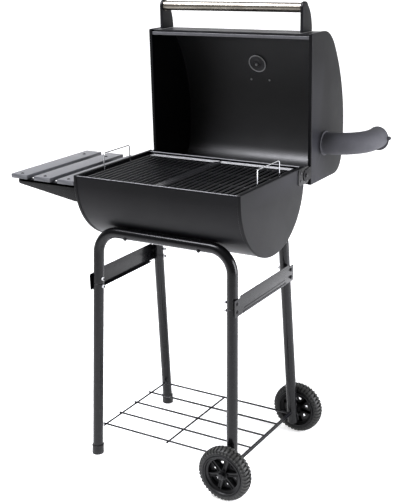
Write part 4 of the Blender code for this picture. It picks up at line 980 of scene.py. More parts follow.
class GRILL_OT_fire_grates(Operator):
    """Round-bar cooking grates on their rails, and the charcoal tray with its wire handles"""

    bl_idname = "grill.fire_grates"
    bl_label = "Grates and tray"

    def execute(self, context):
        sizes = context.scene.grill_sizes
        radius = sizes.grate_wire
        for name, side in SIDES_X:
            self.build_grate(name, side, radius, sizes)
        for name in ("front", "rear"):
            keep_node(f"grate_rail_{name}", "sooty_steel")
        keep_node("charcoal_tray", "sooty_steel")
        for name, side in SIDES_X:
            low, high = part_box(f"tray_handle_{name}")
            wire = sizes.tray_wire
            x = high.x - wire if side > 0 else low.x + wire
            hook = low.x if side > 0 else high.x
            front = low.y + wire
            back = high.y - wire
            bottom = low.z + wire
            top = high.z - wire
            line = [(hook, front, bottom), (x, front, bottom), (x, front, top), (x, back, top)]
            line += [(x, back, bottom), (hook, back, bottom)]
            handle = wires([line], wire, "chromed_wire", bend=0.008, sides=16)
            add_piece(
                f"tray_handle_{name}_wire", handle, "chromed_wire", "tray", "chrome_wire",
                f"tray_handle_{name}",
            )
        return {"FINISHED"}

    def build_grate(self, name, side, radius, sizes):
        """Bars from front to rear, a flat bar at the seam, and wires and ribs across."""
        low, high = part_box(f"cooking_grate_{name}")
        level = high.z - radius
        beside = GRATE_STRIP + radius * 1.6
        first = low.x + (radius if side < 0 else beside)
        last = high.x - (radius if side > 0 else beside)
        count = round((last - first) / sizes.grate_pitch)
        front = low.y + radius
        rear = high.y - radius
        grate = bmesh.new()
        bars = []
        for index in range(count + 1):
            x = first + (last - first) * index / count
            bars.append([(x, front, level), (x, rear - GRATE_REAR_BAND, level)])
        join_mesh(grate, wires(bars, radius, "vitreous_enamel", sides=18))
        across = [(y, level) for y in (front, rear, *(rear - back for back in GRATE_REAR_WIRES))]
        across += [(y, level - radius * 1.8) for y in (rear - GRATE_REAR_BAND, *GRATE_RIBS_Y)]
        lines = [[(low.x + radius, y, z), (high.x - radius, y, z)] for y, z in across]
        join_mesh(grate, wires(lines, radius * 0.95, "vitreous_enamel", sides=18))
        rim = (low.x if side < 0 else high.x) - side * radius
        join_mesh(grate, wires([[(rim, front, level), (rim, rear, level)]], radius, "vitreous_enamel"))
        seam = high.x if side < 0 else low.x
        inside = seam + side * GRATE_STRIP
        edge = [(seam, high.z - 0.0052), (seam, high.z), (inside, high.z), (inside, high.z - 0.0052)]
        add_plate(grate, round_corners(edge, 0.0014), front, rear - 0.0145, "Y", 0.0008)
        add_piece(
            f"grate_{name}_bars", grate, "vitreous_enamel", f"grate_{name}", "grate_enamel",
            f"cooking_grate_{name}",
        )


# ---- lid -----------------------------------------------------------------------------------------


class GRILL_OT_lid(Operator):
    """Open lid: rolled wrap, pressed ends with their hinge ears, and the inner lip"""

    bl_idname = "grill.lid"
    bl_label = "Lid"

    def execute(self, context):
        sizes = context.scene.grill_sizes
        path = lid_path()
        outer = offset(path, WRAP_INSET, False)
        inner = offset(path, WRAP_INSET + sizes.sheet, False)
        low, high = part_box("lid_wrap")
        rim = low.y
        outer = [(max(y, rim), z) for y, z in outer]
        inner = [(max(y, rim), z) for y, z in inner]
        wrap = bmesh.new()
        section = outer + inner[::-1]
        loft(wrap, [at_plane("X", x, section) for x in (low.x, (low.x + high.x) / 2, high.x)])
        made = add_piece("lid_wrap_rolled", wrap, "silicone_heat_paint", "lid", "heat_paint", "lid_wrap")
        made.data.materials.append(bpy.data.materials["smoked_heat_paint"])
        crown = Vector((0, (low.y + high.y) / 2, (low.z + high.z) / 2))
        for face in made.data.polygons:
            towards = crown - face.center
            towards.x = 0
            face.material_index = 1 if face.normal.dot(towards) > 0 and abs(face.normal.x) < 0.5 else 0
        for name, side in SIDES_X:
            self.build_end(path, name, side, sizes)
        self.build_lip(sizes)
        return {"FINISHED"}

    def build_end(self, path, name, side, sizes):
        """An end of the lid, with its ear for the hinge and, on the right, the smoke hole."""
        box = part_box(f"lid_{name}_end")
        outside = box[1].x if side > 0 else box[0].x
        end = bmesh.new()
        add_pressed_end(end, path, outside, side, sizes)
        if side > 0:
            start = Vector((outside, *lid_place(SMOKE_HOLE_DEPTH, SMOKE_HOLE_HEIGHT)))
            reach = Vector((0.004, 0, 0))
            end = cut_holes(end, [(start - reach, start + reach, SMOKE_HOLE_RADIUS)])
        pin = middle_of(f"hinge_pin_{name}")
        root = box[0].y + 0.055
        ear = [(root, pin.z - 0.016), (root, pin.z + 0.022), (pin.y + 0.004, pin.z + 0.019)]
        ear += arc((pin.y, pin.z), 0.018, pi / 2, 3 * pi / 2, 20)
        inner_face = outside - side * sizes.sheet * 1.4
        add_plate(end, ear, inner_face, inner_face + side * sizes.sheet * 1.25, "X", 0.0004)
        add_piece(
            f"lid_{name}_end_pressed", end, "silicone_heat_paint", "lid", "heat_paint", f"lid_{name}_end"
        )

    def build_lip(self, sizes):
        """The folded strip inside the lid's front edge."""
        low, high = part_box("lid_front_stiffener")
        lip = bmesh.new()
        path = [(high.y, high.z), (low.y + 0.0085, high.z), (low.y + 0.0085, high.z - 0.0052)]
        path += [(low.y - 0.0006, high.z - 0.0052), (low.y - 0.0006, low.z), (high.y - 0.005, low.z)]
        add_strip(lip, path, sizes.sheet, low.x, high.x, 0.0012)
        # The lip in the light grey of the painted highlight: a painted highlight line inside the lid's front
        # edge
        add_piece("lid_inner_lip", lip, "rubbed_paint", "lid", "heat_paint", "lid_front_stiffener")


class GRILL_OT_hinges(Operator):
    """Hinge brackets with their rivets, and the pins that the lid turns on"""

    bl_idname = "grill.hinges"
    bl_label = "Hinges"

    def execute(self, context):
        sizes = context.scene.grill_sizes
        places = []
        for name, side in SIDES_X:
            low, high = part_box(f"hinge_bracket_{name}")
            pin = middle_of(f"hinge_pin_{name}")
            inner, outer = (low.x, high.x) if side > 0 else (high.x, low.x)
            outline = [(low.y, low.z), (high.y, low.z), (high.y, high.z), (low.y, high.z)]
            bracket = bmesh.new()
            add_plate(bracket, round_corners(outline, 0.008), inner, outer, "X", sizes.plate_edge)
            bump = soft_profile([(0, 0), (0.0125, 0), (0.0105, 0.0009), (0, 0.0009)], 0.0005)
            add_turned(bracket, bump, (outer, pin.y, pin.z), (side, 0, 0), 40)
            add_piece(
                f"hinge_bracket_{name}_plate", bracket, "powder_coat", "trolley", "frame_paint",
                f"hinge_bracket_{name}",
            )
            for z in (0.846, 0.870):
                places.append(((outer, low.y + 0.016, z), (side, 0, 0)))
            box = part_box(f"hinge_pin_{name}")
            tip, root = (box[1].x, box[0].x) if side > 0 else (box[0].x, box[1].x)
            reach = abs(tip - root)
            profile = [(0, 0), (0.0047, 0), (0.0047, 0.0013), (0.003, 0.0015), (0.003, reach - 0.0029)]
            profile += [(0.0065, reach - 0.0029), (0.0065, reach - 0.0018), (0.0050, reach - 0.0004)]
            profile.append((0, reach))
            shaft = turned(profile, (root, pin.y, pin.z), (side, 0, 0), 32)
            add_piece(
                f"hinge_pin_{name}_turned", shaft, "powder_coat", "trolley", "bright_zinc",
                f"hinge_pin_{name}",
            )
        dome = [(0, -0.0026), (0.0023, -0.0026), (0.0023, 0), (0.0042, 0), (0.0040, 0.0010)]
        dome += [(0.0026, 0.0020), (0, 0.0023)]
        heads = copies(turned(dome, sides=20), places, "powder_coat")
        add_piece("hinge_bracket_rivets", heads, "powder_coat", "trolley", "bright_zinc")
        return {"FINISHED"}


class GRILL_OT_handle(Operator):
    """Brushed tube held between two tapered fins"""

    bl_idname = "grill.handle"
    bl_label = "Handle"

    def execute(self, context):
        sizes = context.scene.grill_sizes
        tube_low, tube_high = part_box("handle_tube")
        centre = (middle_of("handle_tube").y, middle_of("handle_tube").z)
        for name in ("left", "right"):
            low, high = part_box(f"handle_bracket_{name}")
            tip = high.z - centre[1]
            outline = [(low.y, low.z)]
            outline += arc(centre, tip, pi, 0.12 * pi, 18)
            start = Vector(outline[-1])
            for step in range(1, 15):
                t = step / 15
                bulge = Vector((high.y - 0.0015, centre[1] - 0.016))
                point = (1 - t) ** 2 * start + 2 * t * (1 - t) * bulge + t**2 * Vector((high.y, low.z))
                outline.append(tuple(point))
            outline.append((high.y, low.z))
            fin = bmesh.new()
            add_plate(fin, outline, low.x, high.x, "X", sizes.fin_edge, 5)
            add_piece(
                f"handle_fin_{name}", fin, "silicone_heat_paint", "lid", "frame_paint",
                f"handle_bracket_{name}",
            )
        radius = (tube_high.y - tube_low.y) / 2
        tube = bmesh.new()
        line = [(tube_low.x, *centre), (middle_of("handle_tube").x, *centre), (tube_high.x, *centre)]
        add_tube(tube, line, radius, radius - 0.001, sides=64)
        inner = radius - 0.001
        outer = radius + 0.0012
        collar = soft_profile([(inner, 0.0004), (outer, 0.0004), (outer, 0.003), (inner, 0.003)], 0.0006)
        for x, side in ((tube_low.x, 1), (tube_high.x, -1)):
            add_turned(tube, collar, (x, *centre), (side, 0, 0), 64)
        add_piece("handle_tube_brushed", tube, "brushed_stainless", "lid", "stainless_tube", "handle_tube")
        return {"FINISHED"}


class GRILL_OT_thermometer(Operator):
    """Dial thermometer, its dished locknut and probe inside the lid, and the blank badge"""

    bl_idname = "grill.thermometer"
    bl_label = "Thermometer and badge"

    def execute(self, context):
        sizes = context.scene.grill_sizes
        self.point, self.outward = lid_surface(THERMOMETER_DEPTH)
        steel = "bright_zinc"
        case = [(0, 0.0003), (0.026, 0.0003), (0.030, 0.003), (0.030, 0.0112), (0.0288, 0.0130)]
        case += [(0.0268, 0.0130), (0.0258, 0.0118), (0.0258, 0.0062), (0, 0.0062)]
        case = soft_profile(case, 0.0009)
        self.turn("thermometer_case_drawn", case, steel, "bright_zinc", "thermometer_case")
        dial = [(0, 0.0064), (0.0254, 0.0064), (0.0254, 0.0071), (0, 0.0071)]
        self.turn("thermometer_dial_face", dial, "white_enamel", "dial_face", "thermometer_dial")
        glass = [(0, 0.0107), (0.0254, 0.0107), (0.0254, 0.0116), (0.015, 0.0123), (0, 0.0126)]
        self.turn("thermometer_lens", glass, "dial_glass", "dial_glass", "thermometer_glass")
        self.marks(sizes)
        self.needle()
        drop = THERMOMETER_RADIUS**2 / (2 * LID_ARC_RADIUS)
        inside = -0.0012 - 3 * GAP - drop
        stem = [(0, -0.0012), (0.004, -0.0012), (0.004, inside - 0.0095), (0.0034, inside - 0.0112)]
        stem += [(0.002, inside - 0.0118), (0, inside - 0.0120)]
        self.turn("thermometer_stem", stem, steel, "bright_zinc", "thermometer_probe")
        nut = [(0.0044, inside), (0.0275, inside), (0.0296, inside - 0.0007), (0.0300, inside - 0.0018)]
        nut += [(0.0290, inside - 0.0030), (0.0272, inside - 0.0032), (0.0258, inside - 0.0022)]
        nut += [(0.0225, inside - 0.0012), (0.0125, inside - 0.0012), (0.0100, inside - 0.0030)]
        nut += [(0.0085, inside - 0.0060), (0.0044, inside - 0.0060)]
        enamel = "vitreous_enamel"
        self.turn("thermometer_locknut_dished", nut, enamel, "grate_enamel", "thermometer_locknut")
        rim = [(0.0264, inside - 0.0016), (0.0300, inside - 0.0016), (0.0300, inside - 0.0038)]
        rim.append((0.0264, inside - 0.0038))
        self.turn("thermometer_locknut_rim", soft_profile(rim, 0.0009), steel, "bright_zinc")
        self.badge()
        return {"FINISHED"}

    def turn(self, name, profile, paint, slot, *nodes):
        """A piece turned about the thermometer's axis."""
        add_piece(name, turned(profile, self.point, self.outward, 64), paint, "lid", slot, *nodes)

    def dial_matrix(self):
        """From a dial lying flat, with twelve o'clock along +Y, to the dial on the lid."""
        right = Vector((-1, 0, 0))
        uphill = self.outward.cross(right)
        basis = Matrix((right, uphill, self.outward)).transposed().to_4x4()
        return Matrix.Translation(self.point) @ basis

    def marks(self, sizes):
        """Plain marks round three quarters of the dial, every fifth one longer."""
        whole = bmesh.new()
        step = radians(270) / sizes.dial_marks
        for every, inner, half in ((1, 0.0222, 0.00022), (5, 0.0205, 0.0004)):
            mark = bmesh.new()
            outline = [(inner, -half), (0.0243, -half), (0.0243, half), (inner, half)]
            loft(mark, [at_plane("Z", z, outline) for z in (0.0070, 0.00722)])
            count = sizes.dial_marks // every + 1
            join_mesh(whole, ring_of(mark, count, "printed_ink", step * every, radians(-45)))
        whole.transform(self.dial_matrix())
        add_piece("thermometer_marks", whole, "printed_ink", "lid", "dial_face")

    def needle(self):
        """A tapered hand with its hub, at twelve o'clock before it is turned to its start."""
        needle = bmesh.new()
        half = [(0.0013, -0.006), (0.0016, 0.0), (0.0003, 0.0213)]
        outline = [(-0.0013, -0.006), *half, (-0.0003, 0.0213), (-0.0016, 0.0)]
        add_plate(needle, outline, 0.0076, 0.0083, "Z", 0.0001, 1)
        hub = [(0, 0.0075), (0.0028, 0.0075), (0.0028, 0.0092), (0, 0.0092)]
        add_turned(needle, soft_profile(hub, 0.0004), sides=32)
        needle.transform(self.dial_matrix() @ Matrix.Rotation(radians(135), 4, "Z"))
        add_piece("thermometer_pointer", needle, "red_lacquer", "needle", "needle_red", "thermometer_needle")

    def badge(self):
        """A blank plate with a raised field, held by two pins with spring clips."""
        point, outward = lid_surface(BADGE_DEPTH)
        right = Vector((1, 0, 0))
        uphill = outward.cross(right)
        basis = Matrix((right, uphill, outward)).transposed().to_4x4()
        plate = bmesh.new()
        long, wide = BADGE_HALF_LENGTH, BADGE_HALF_WIDTH
        outline = [(-long, -wide), (long, -wide), (long, wide), (-long, wide)]
        add_plate(plate, round_corners(outline, 0.006), 2 * GAP, 0.0022, "Z", 0.0006)
        inner = round_corners([(u * 0.93, v * 0.8) for u, v in outline], 0.004)
        add_plate(plate, inner, 0.0018, 0.0028, "Z", 0.0005)
        for side in (-1, 1):
            pin = [(0, -0.0074), (0.0015, -0.0068), (0.0015, 0.0015), (0, 0.0015)]
            clip = [(0.0015, -0.0048), (0.0034, -0.0044), (0.0034, -0.0036), (0.0015, -0.0032)]
            for profile, corner in ((pin, 0.0004), (clip, 0.0002)):
                add_turned(plate, soft_profile(profile, corner), (side * 0.0325, 0, 0), sides=20)
        plate.transform(Matrix.Translation(point) @ basis)
        add_piece("badge_plate_blank", plate, "bright_zinc", "lid", "bright_zinc", "badge_plate")


class GRILL_OT_chimney(Operator):
    """Elbow chimney with its foot flange, swivelling cap and pin"""

    bl_idname = "grill.chimney"
    bl_label = "Chimney"

    def execute(self, context):
        low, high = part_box("chimney_elbow")
        radius = CHIMNEY_RADIUS
        height = middle_of("chimney_elbow").z
        start = Vector((low.x, lid_place(0, SMOKE_HOLE_HEIGHT)[0], height))
        bend = CHIMNEY_BEND
        corner = start.x + CHIMNEY_STUB + bend
        path = [start, start + Vector((CHIMNEY_STUB, 0, 0))]
        for step in range(1, 33):
            turn = pi / 2 * step / 32
            x = corner - bend * (1 - sin(turn))
            path.append(Vector((x, start.y + bend * (1 - cos(turn)), height)))
        mouth = Vector((corner, high.y, height))
        path.append(mouth)
        elbow = bmesh.new()
        add_tube(elbow, path, radius, radius - CHIMNEY_SHEET, sides=64)
        inner = radius - 0.0006
        foot = [(inner, 0.0002), (radius + 0.004, 0.0002), (radius + 0.004, 0.0016)]
        foot += [(radius + 0.001, 0.0030), (inner, 0.0030)]
        add_turned(elbow, soft_profile(foot, 0.0006), start, (1, 0, 0), 64)
        outer = radius + CHIMNEY_SHEET
        bead = [(inner, -0.0024), (outer, -0.0018), (outer, -0.0008), (inner, -0.0002)]
        add_turned(elbow, soft_profile(bead, 0.0005), mouth, (0, 1, 0), 64)
        pivot = middle_of("chimney_cap_pin")
        lug = soft_profile([(0, -0.0085), (0.0055, -0.0085), (0.0055, -0.0006), (0, -0.0006)], 0.0008)
        add_turned(elbow, lug, (pivot.x, mouth.y, height), (0, 1, 0), 32)
        add_piece(
            "chimney_elbow_drawn", elbow, "dry_sprayed_heat_paint", "lid", "frame_paint", "chimney_elbow"
        )
        cap_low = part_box("chimney_cap")[0]
        cap = bmesh.new()
        centre = Vector((cap_low.x + CAP_RADIUS, cap_low.y, cap_low.z + CAP_RADIUS))
        disc = [(0, 0), (0.0345, 0), (CAP_RADIUS, 0.0006), (0.0345, 0.0013), (0.031, 0.0013)]
        disc += [(0.028, 0.0022), (0, 0.0022)]
        add_turned(cap, disc, centre, (0, 1, 0), 64)
        arm = Vector((pivot.x, 0, height)) - Vector((centre.x, 0, centre.z))
        along = Vector((arm.x, arm.z)).normalized()
        side = Vector((-along.y, along.x)) * 0.0055
        inner = Vector((centre.x, centre.z)) + along * 0.026
        outer = Vector((pivot.x, height))
        outline = [tuple(inner + side), tuple(inner - side)]
        start_angle = atan2(-side.y, -side.x)
        outline += arc(tuple(outer), 0.0055, start_angle, start_angle + pi, 12)
        add_plate(cap, outline, cap_low.y + 0.0002, cap_low.y + 0.0014, "Y", 0.0003)
        add_piece(
            "chimney_cap_pressed", cap, "dry_sprayed_heat_paint", "chimney_cap", "frame_paint",
            "chimney_cap",
        )
        pin = bmesh.new()
        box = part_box("chimney_cap_pin")
        profile = [(0, 0), (0.0015, 0), (0.0015, 0.0056), (0.003, 0.0056), (0.0029, 0.0072)]
        profile += [(0.0018, 0.0083), (0, 0.0086)]
        add_turned(pin, profile, (pivot.x, box[0].y, pivot.z), (0, 1, 0), 24)
        add_piece("chimney_cap_rivet", pin, "bright_zinc", "lid", "bright_zinc", "chimney_cap_pin")
        return {"FINISHED"}


# ---- trolley -------------------------------------------------------------------------------------


def leg_point(side_x, side_y, z):
    """A point on a leg's centre line at a height."""
    share = 1 - z / FRAME_TOP_Z
    x = FRAME_TOP_X + (FOOT_X - FRAME_TOP_X) * share
    y = FRAME_TOP_Y + (FOOT_Y - FRAME_TOP_Y) * share
    middle = middle_of("firebox_wrap")
    return Vector((middle.x + side_x * x, middle.y + side_y * y, z))


class GRILL_OT_trolley(Operator):
    """Bent top frames, legs, foot caps and saddle bolts"""

    bl_idname = "grill.trolley"
    bl_label = "Trolley"

    def execute(self, context):
        sizes = context.scene.grill_sizes
        coat = "powder_coat"
        bolts = []
        for name, side_y in SIDES_Y:
            self.build_top(name, side_y, sizes, coat)
            for label, side_x in SIDES_X:
                node = f"leg_{name}_{label}"
                bottom = 0.046 if side_x > 0 else 0.0035
                leg = bmesh.new()
                top = JOINT_Z - 0.0003
                path = [leg_point(side_x, side_y, z) for z in (bottom, 0.25, top)]
                add_tube(leg, path, sizes.tube, sizes.tube - sizes.sheet, sides=40, edge=0.0005)
                add_piece(f"{node}_tube", leg, coat, "trolley", "frame_paint", node)
                tube = middle_of("firebox_wrap") + Vector((side_x * SADDLE_X, side_y * FRAME_TOP_Y, 0))
                tube.z = FRAME_TOP_Z
                axis = Vector((tube.x, middle_of("firebox_wrap").y, BARREL_AXIS_Z))
                bolts.append((tube, (axis - tube).normalized()))
        bolt = bmesh.new()
        under = -sizes.tube - 2 * GAP
        nut = sizes.tube + 0.0045
        profile = [(0, under - 0.0050), (0.0030, under - 0.0046), (0.0050, under - 0.0030), (0.0055, under)]
        profile += [(0.003, under), (0.003, nut), (0.0055, nut), (0.0055, nut + 0.0045)]
        profile += [(0.003, nut + 0.005), (0, nut + 0.005)]
        add_turned(bolt, profile, sides=24)
        made = copies(bolt, bolts, coat)
        names = [f"saddle_bolt_{name}_{label}" for name, _ in SIDES_Y for label, _ in SIDES_X]
        add_piece("saddle_bolts", made, coat, "trolley", "bright_zinc", *names)
        for name, side_y in SIDES_Y:
            self.build_foot(name, side_y, sizes)
        return {"FINISHED"}

    def build_top(self, name, side_y, sizes, coat):
        """A bent tube across the trolley, under the firebox."""
        bend = sizes.frame_bend
        ends = [leg_point(side, side_y, JOINT_Z + 2 * GAP) for side in (-1, 1)]
        corners = [leg_point(side, side_y, FRAME_TOP_Z) for side in (-1, 1)]
        path = round_corners([ends[0], *corners, ends[1]], bend, closed=False, steps=20)
        top = bmesh.new()
        add_tube(top, path, sizes.tube, sizes.tube - sizes.sheet, sides=40)
        for side in (-1, 1):
            stub = [leg_point(side, side_y, z) for z in (JOINT_Z - 0.045, JOINT_Z + 0.002)]
            thin = sizes.tube - sizes.sheet - GAP
            add_tube(top, stub, thin, thin - sizes.sheet, sides=40)
        add_piece(f"top_frame_{name}_bent", top, coat, "trolley", "frame_paint", f"top_frame_{name}")

    def build_foot(self, name, side_y, sizes):
        """The moulded cap on the lower end of a left leg."""
        outer = sizes.tube + 0.0023
        inner = sizes.tube + 2 * GAP
        cap = bmesh.new()
        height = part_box(f"foot_cap_{name}")[1].z
        levels = [(0.0, outer - 0.0020), (0.0006, outer - 0.0007), (0.0020, outer)]
        levels += [(height - 0.004, outer), (height - 0.0035, outer + 0.0006)]
        levels += [(height - 0.0006, outer + 0.0006), (height, outer), (height, inner), (0.0022, inner)]
        rings = []
        for z, radius in levels:
            centre = leg_point(-1, side_y, z)
            rings.append([(x, y, z) for x, y in arc(centre, radius, 0, 2 * pi * 39 / 40, 39)])
        loft(cap, rings)
        add_piece(
            f"foot_cap_{name}_moulded", cap, "moulded_plastic", "trolley", "black_plastic",
            f"foot_cap_{name}",
        )


class GRILL_OT_braces(Operator):
    """Pressed side plates with a folded lower edge, their bolts and nuts"""

    bl_idname = "grill.braces"
    bl_label = "Side braces"

    def execute(self, context):
        sizes = context.scene.grill_sizes
        coat = "powder_coat"
        heads = []
        for name, side in SIDES_X:
            low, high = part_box(f"side_brace_{name}")
            middle = (low.y + high.y) / 2
            face = high.x if side > 0 else low.x
            inner = face - side * 0.0015
            half = [(0.150, high.z), (0.1495, high.z - 0.006), (0.1815, high.z - 0.006), (0.1815, low.z)]
            outline = [(middle + y, z) for y, z in half] + [(middle - y, z) for y, z in reversed(half)]
            brace = bmesh.new()
            add_plate(brace, round_corners(outline, 0.005), inner, face, "X", sizes.plate_edge)
            bend = [(face, low.z + 0.006), (face, low.z), (face - side * 0.0115, low.z)]
            if side > 0:
                bend.reverse()
            add_strip(brace, bend, -0.0012, middle - 0.132, middle + 0.132, 0.002, "Y")
            groove = [(middle - 0.128, low.z + 0.012), (middle + 0.128, low.z + 0.012)]
            groove += [(middle + 0.128, low.z + 0.0165), (middle - 0.128, low.z + 0.0165)]
            groove = round_corners(groove, 0.0022)
            add_plate(brace, groove, face - side * 0.0004, face + side * 0.0008, "X", 0.0007)
            node = f"side_brace_{name}"
            add_piece(f"{node}_pressed", brace, coat, "trolley", "frame_paint", node)
            for side_y in (-1, 1):
                for z in (low.z + 0.013, low.z + 0.037):
                    heads.append(((face, middle + side_y * BRACE_BOLT_Y, z), (side, 0, 0)))
        bolt = bmesh.new()
        tail = BRACE_BOLT_TAIL
        profile = [(0, tail), (0.0024, tail + 0.0004), (0.003, tail + 0.0012), (0.003, 0), (0.0062, 0)]
        profile += [(0.0062, 0.0009), (0.0048, 0.0011)]
        profile += [(0.0044, 0.0026), (0.0028, 0.0037), (0, 0.0040)]
        add_turned(bolt, profile, sides=24)
        made = copies(bolt, heads, coat)
        add_piece("side_brace_bolts", made, coat, "trolley", "bright_zinc")
        nut = bmesh.new()
        flats = [(0.0052 * cos(pi / 3 * corner), 0.0052 * sin(pi / 3 * corner)) for corner in range(6)]
        add_plate(nut, flats, -0.0410, -0.0358, "Z", 0.0004, 2)
        made = copies(nut, heads, "bright_zinc")
        add_piece("side_brace_nuts", made, "bright_zinc", "trolley", "bright_zinc")
        return {"FINISHED"}


class GRILL_OT_wheels(Operator):
    """Spoked wheels with lugged tyres, the axle and its caps"""

    bl_idname = "grill.wheels"
    bl_label = "Wheels"

    def execute(self, context):
        sizes = context.scene.grill_sizes
        low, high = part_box("axle")
        line = [(middle_of("axle").x, y, middle_of("axle").z) for y in (low.y, high.y)]
        axle = bmesh.new()
        add_tube(axle, line, AXLE_RADIUS, sides=32)
        add_piece("axle_rod", axle, "powder_coat", "trolley", "bright_zinc", "axle")
        for name, side in SIDES_Y:
            tyre_low, tyre_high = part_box(f"tyre_{name}")
            centre = middle_of(f"tyre_{name}")
            centre.x = line[0][0]
            centre.z = line[0][2]
            turn = Matrix.Rotation(-side * pi / 2, 4, "X")
            matrix = Matrix.Translation(centre) @ turn
            width = tyre_high.y - tyre_low.y
            self.build_tyre(name, width / 2, matrix, sizes)
            self.build_wheel(name, width / 2, matrix)
            self.build_cap(name, side)
        return {"FINISHED"}

    def build_tyre(self, name, half, matrix, sizes):
        """Round shoulders, a smooth band beside the rim, and lugs over both shoulders."""
        radius = TYRE_RADIUS
        tread = radius - sizes.lug_height
        profile = [(0.0603, -half * 0.80), (0.0618, -half * 0.93), (0.0640, -half * 0.95)]
        profile += [(0.0650, -half * 0.985), (0.0665, -half * 0.94), (0.0705, -half * 0.94)]
        profile += [(0.0745, -half * 0.84), (0.0768, -half * 0.62), (tread, -half * 0.30), (tread, 0)]
        profile += [(size, -along) for size, along in reversed(profile[:-1])]
        tyre = bmesh.new()
        add_turned(tyre, profile, sides=96)
        pitch = 2 * pi / sizes.lugs
        ridge = [(0.0690, half * 0.985), (0.0738, half * 0.965), (0.0775, half * 0.83)]
        ridge += [(0.0796, half * 0.58), (radius, half * 0.30), (radius, half * 0.07)]
        root = [(size - 0.0045, along * 0.86) for size, along in ridge]
        root[-1] = (root[-1][0], ridge[-1][1])
        for side in (-1, 1):
            rings = []
            for index, ((top_r, top_y), (low_r, low_y)) in enumerate(zip(ridge, root)):
                slant = side * 0.10 * pitch * index / len(ridge)
                half_top = radius * pitch * 0.235
                half_low = radius * pitch * 0.30
                ring = []
                for size, along, across in (
                    (low_r, low_y, -half_low),
                    (top_r, top_y, -half_top),
                    (top_r, top_y, half_top),
                    (low_r, low_y, half_low),
                ):
                    angle = across / radius + slant
                    ring.append((size * cos(angle), size * sin(angle), side * along))
                rings.append(ring)
            lug = bmesh.new()
            loft(lug, rings)
            start = pitch / 4 * side
            join_mesh(tyre, ring_of(lug, sizes.lugs, "moulded_rubber", start=start))
        tyre.transform(matrix)
        add_piece(f"tyre_{name}_lugged", tyre, "moulded_rubber", f"{name}_wheel", "tyre", f"tyre_{name}")

    def build_wheel(self, name, half, matrix):
        """Rim with lips, a recessed web with six small windows, six raised spokes, ringed hub."""
        rim = [(0.0600, -half), (0.0600, half - 0.001), (0.0592, half), (0.0565, half)]
        rim += [(0.0552, half - 0.0016), (0.0545, half - 0.005), (0.0488, half - 0.008)]
        rim += [(0.0482, half - 0.020), (0.0482, -half + 0.010), (0.0545, -half + 0.005), (0.0565, -half)]
        wheel = bmesh.new()
        add_turned(wheel, rim, sides=96)
        ringed = [(AXLE_HOLE, -half), (0.0120, -half), (0.0150, -half + 0.004), (0.0150, half - 0.0055)]
        ringed += [(0.0138, half - 0.0045), (0.0130, half - 0.0045), (0.0126, half - 0.0058)]
        ringed += [(0.0108, half - 0.0058), (0.0104, half - 0.0040), (0.0096, half - 0.0040)]
        ringed += [(0.0092, half - 0.0052), (AXLE_HOLE, half - 0.0052)]
        add_turned(wheel, ringed, sides=64)
        self.add_web(wheel, -0.004, -0.0015)
        spoke = bmesh.new()
        rings = []
        rib = 0.0013
        stations = ((0.0140, 0.0062, 0.0072), (0.0300, 0.0052, 0.0085), (0.0500, 0.0056, 0.0080))
        for along, wide, depth in stations:
            face = half - depth
            section = [(-wide, -0.004), (-wide, face), (-wide + rib, face)]
            section += [(-wide + rib * 1.3, face - 0.0035), (wide - rib * 1.3, face - 0.0035)]
            section += [(wide - rib, face), (wide, face), (wide, -0.004)]
            rings.append([(along, u, v) for u, v in section])
        loft(spoke, rings)
        join_mesh(wheel, ring_of(spoke, 6, "moulded_plastic", start=radians(14)))
        wheel.transform(matrix)
        add_piece(
            f"wheel_{name}_moulded", wheel, "moulded_plastic", f"{name}_wheel", "black_plastic",
            f"wheel_{name}",
        )

    def add_web(self, shape, low, high):
        """The web between hub and rim, open at one small window between each two spokes."""
        radii = (0.0145, 0.0290, 0.0365, 0.0485)
        columns = 96
        rows = []
        for level in (low, high):
            for size in radii:
                turns = [2 * pi * column / columns for column in range(columns)]
                rows.append([shape.verts.new((size * cos(turn), size * sin(turn), level)) for turn in turns])
        window = radians(14 + 30)

        def solid(column, row):
            if not 0 <= row <= 2:
                return False
            middle = 2 * pi * (column % columns + 0.5) / columns
            near = (middle - window + pi / 6) % (pi / 3) - pi / 6
            return row != 1 or abs(near) > 0.12

        for column in range(columns):
            after = (column + 1) % columns
            for row in range(3):
                if not solid(column, row):
                    continue
                for base in (0, 4):
                    near_row = rows[base + row]
                    far_row = rows[base + row + 1]
                    shape.faces.new((near_row[column], near_row[after], far_row[after], far_row[column]))
                for here, other, near in ((row, row, row - 1), (row + 1, row + 1, row + 1)):
                    if not solid(column, near):
                        under = rows[4 + other]
                        shape.faces.new((rows[here][column], rows[here][after], under[after], under[column]))
                for edge, near in ((column, column - 1), (after, column + 1)):
                    if not solid(near, row):
                        corners = [rows[at][edge] for at in (row, row + 1, 5 + row, 4 + row)]
                        shape.faces.new(corners)

    def build_cap(self, name, side):
        """The pressed cap on one end of the axle."""
        low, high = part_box(f"axle_cap_{name}")
        base = low.y if side > 0 else high.y
        reach = high.y - low.y
        profile = [(0, reach * 0.6), (0.0053, reach * 0.6), (0.0053, 0), (0.0108, 0), (0.0110, reach * 0.15)]
        profile += [(0.0108, reach * 0.5), (0.0092, reach * 0.72), (0.0065, reach * 0.86)]
        profile += [(0.0040, reach * 0.80), (0.0034, reach), (0, reach)]
        cap = bmesh.new()
        add_turned(cap, profile, (middle_of("axle").x, base, middle_of("axle").z), (0, side, 0), 48)
        node = f"axle_cap_{name}"
        add_piece(f"{node}_pressed", cap, "powder_coat", "trolley", "frame_paint", node)


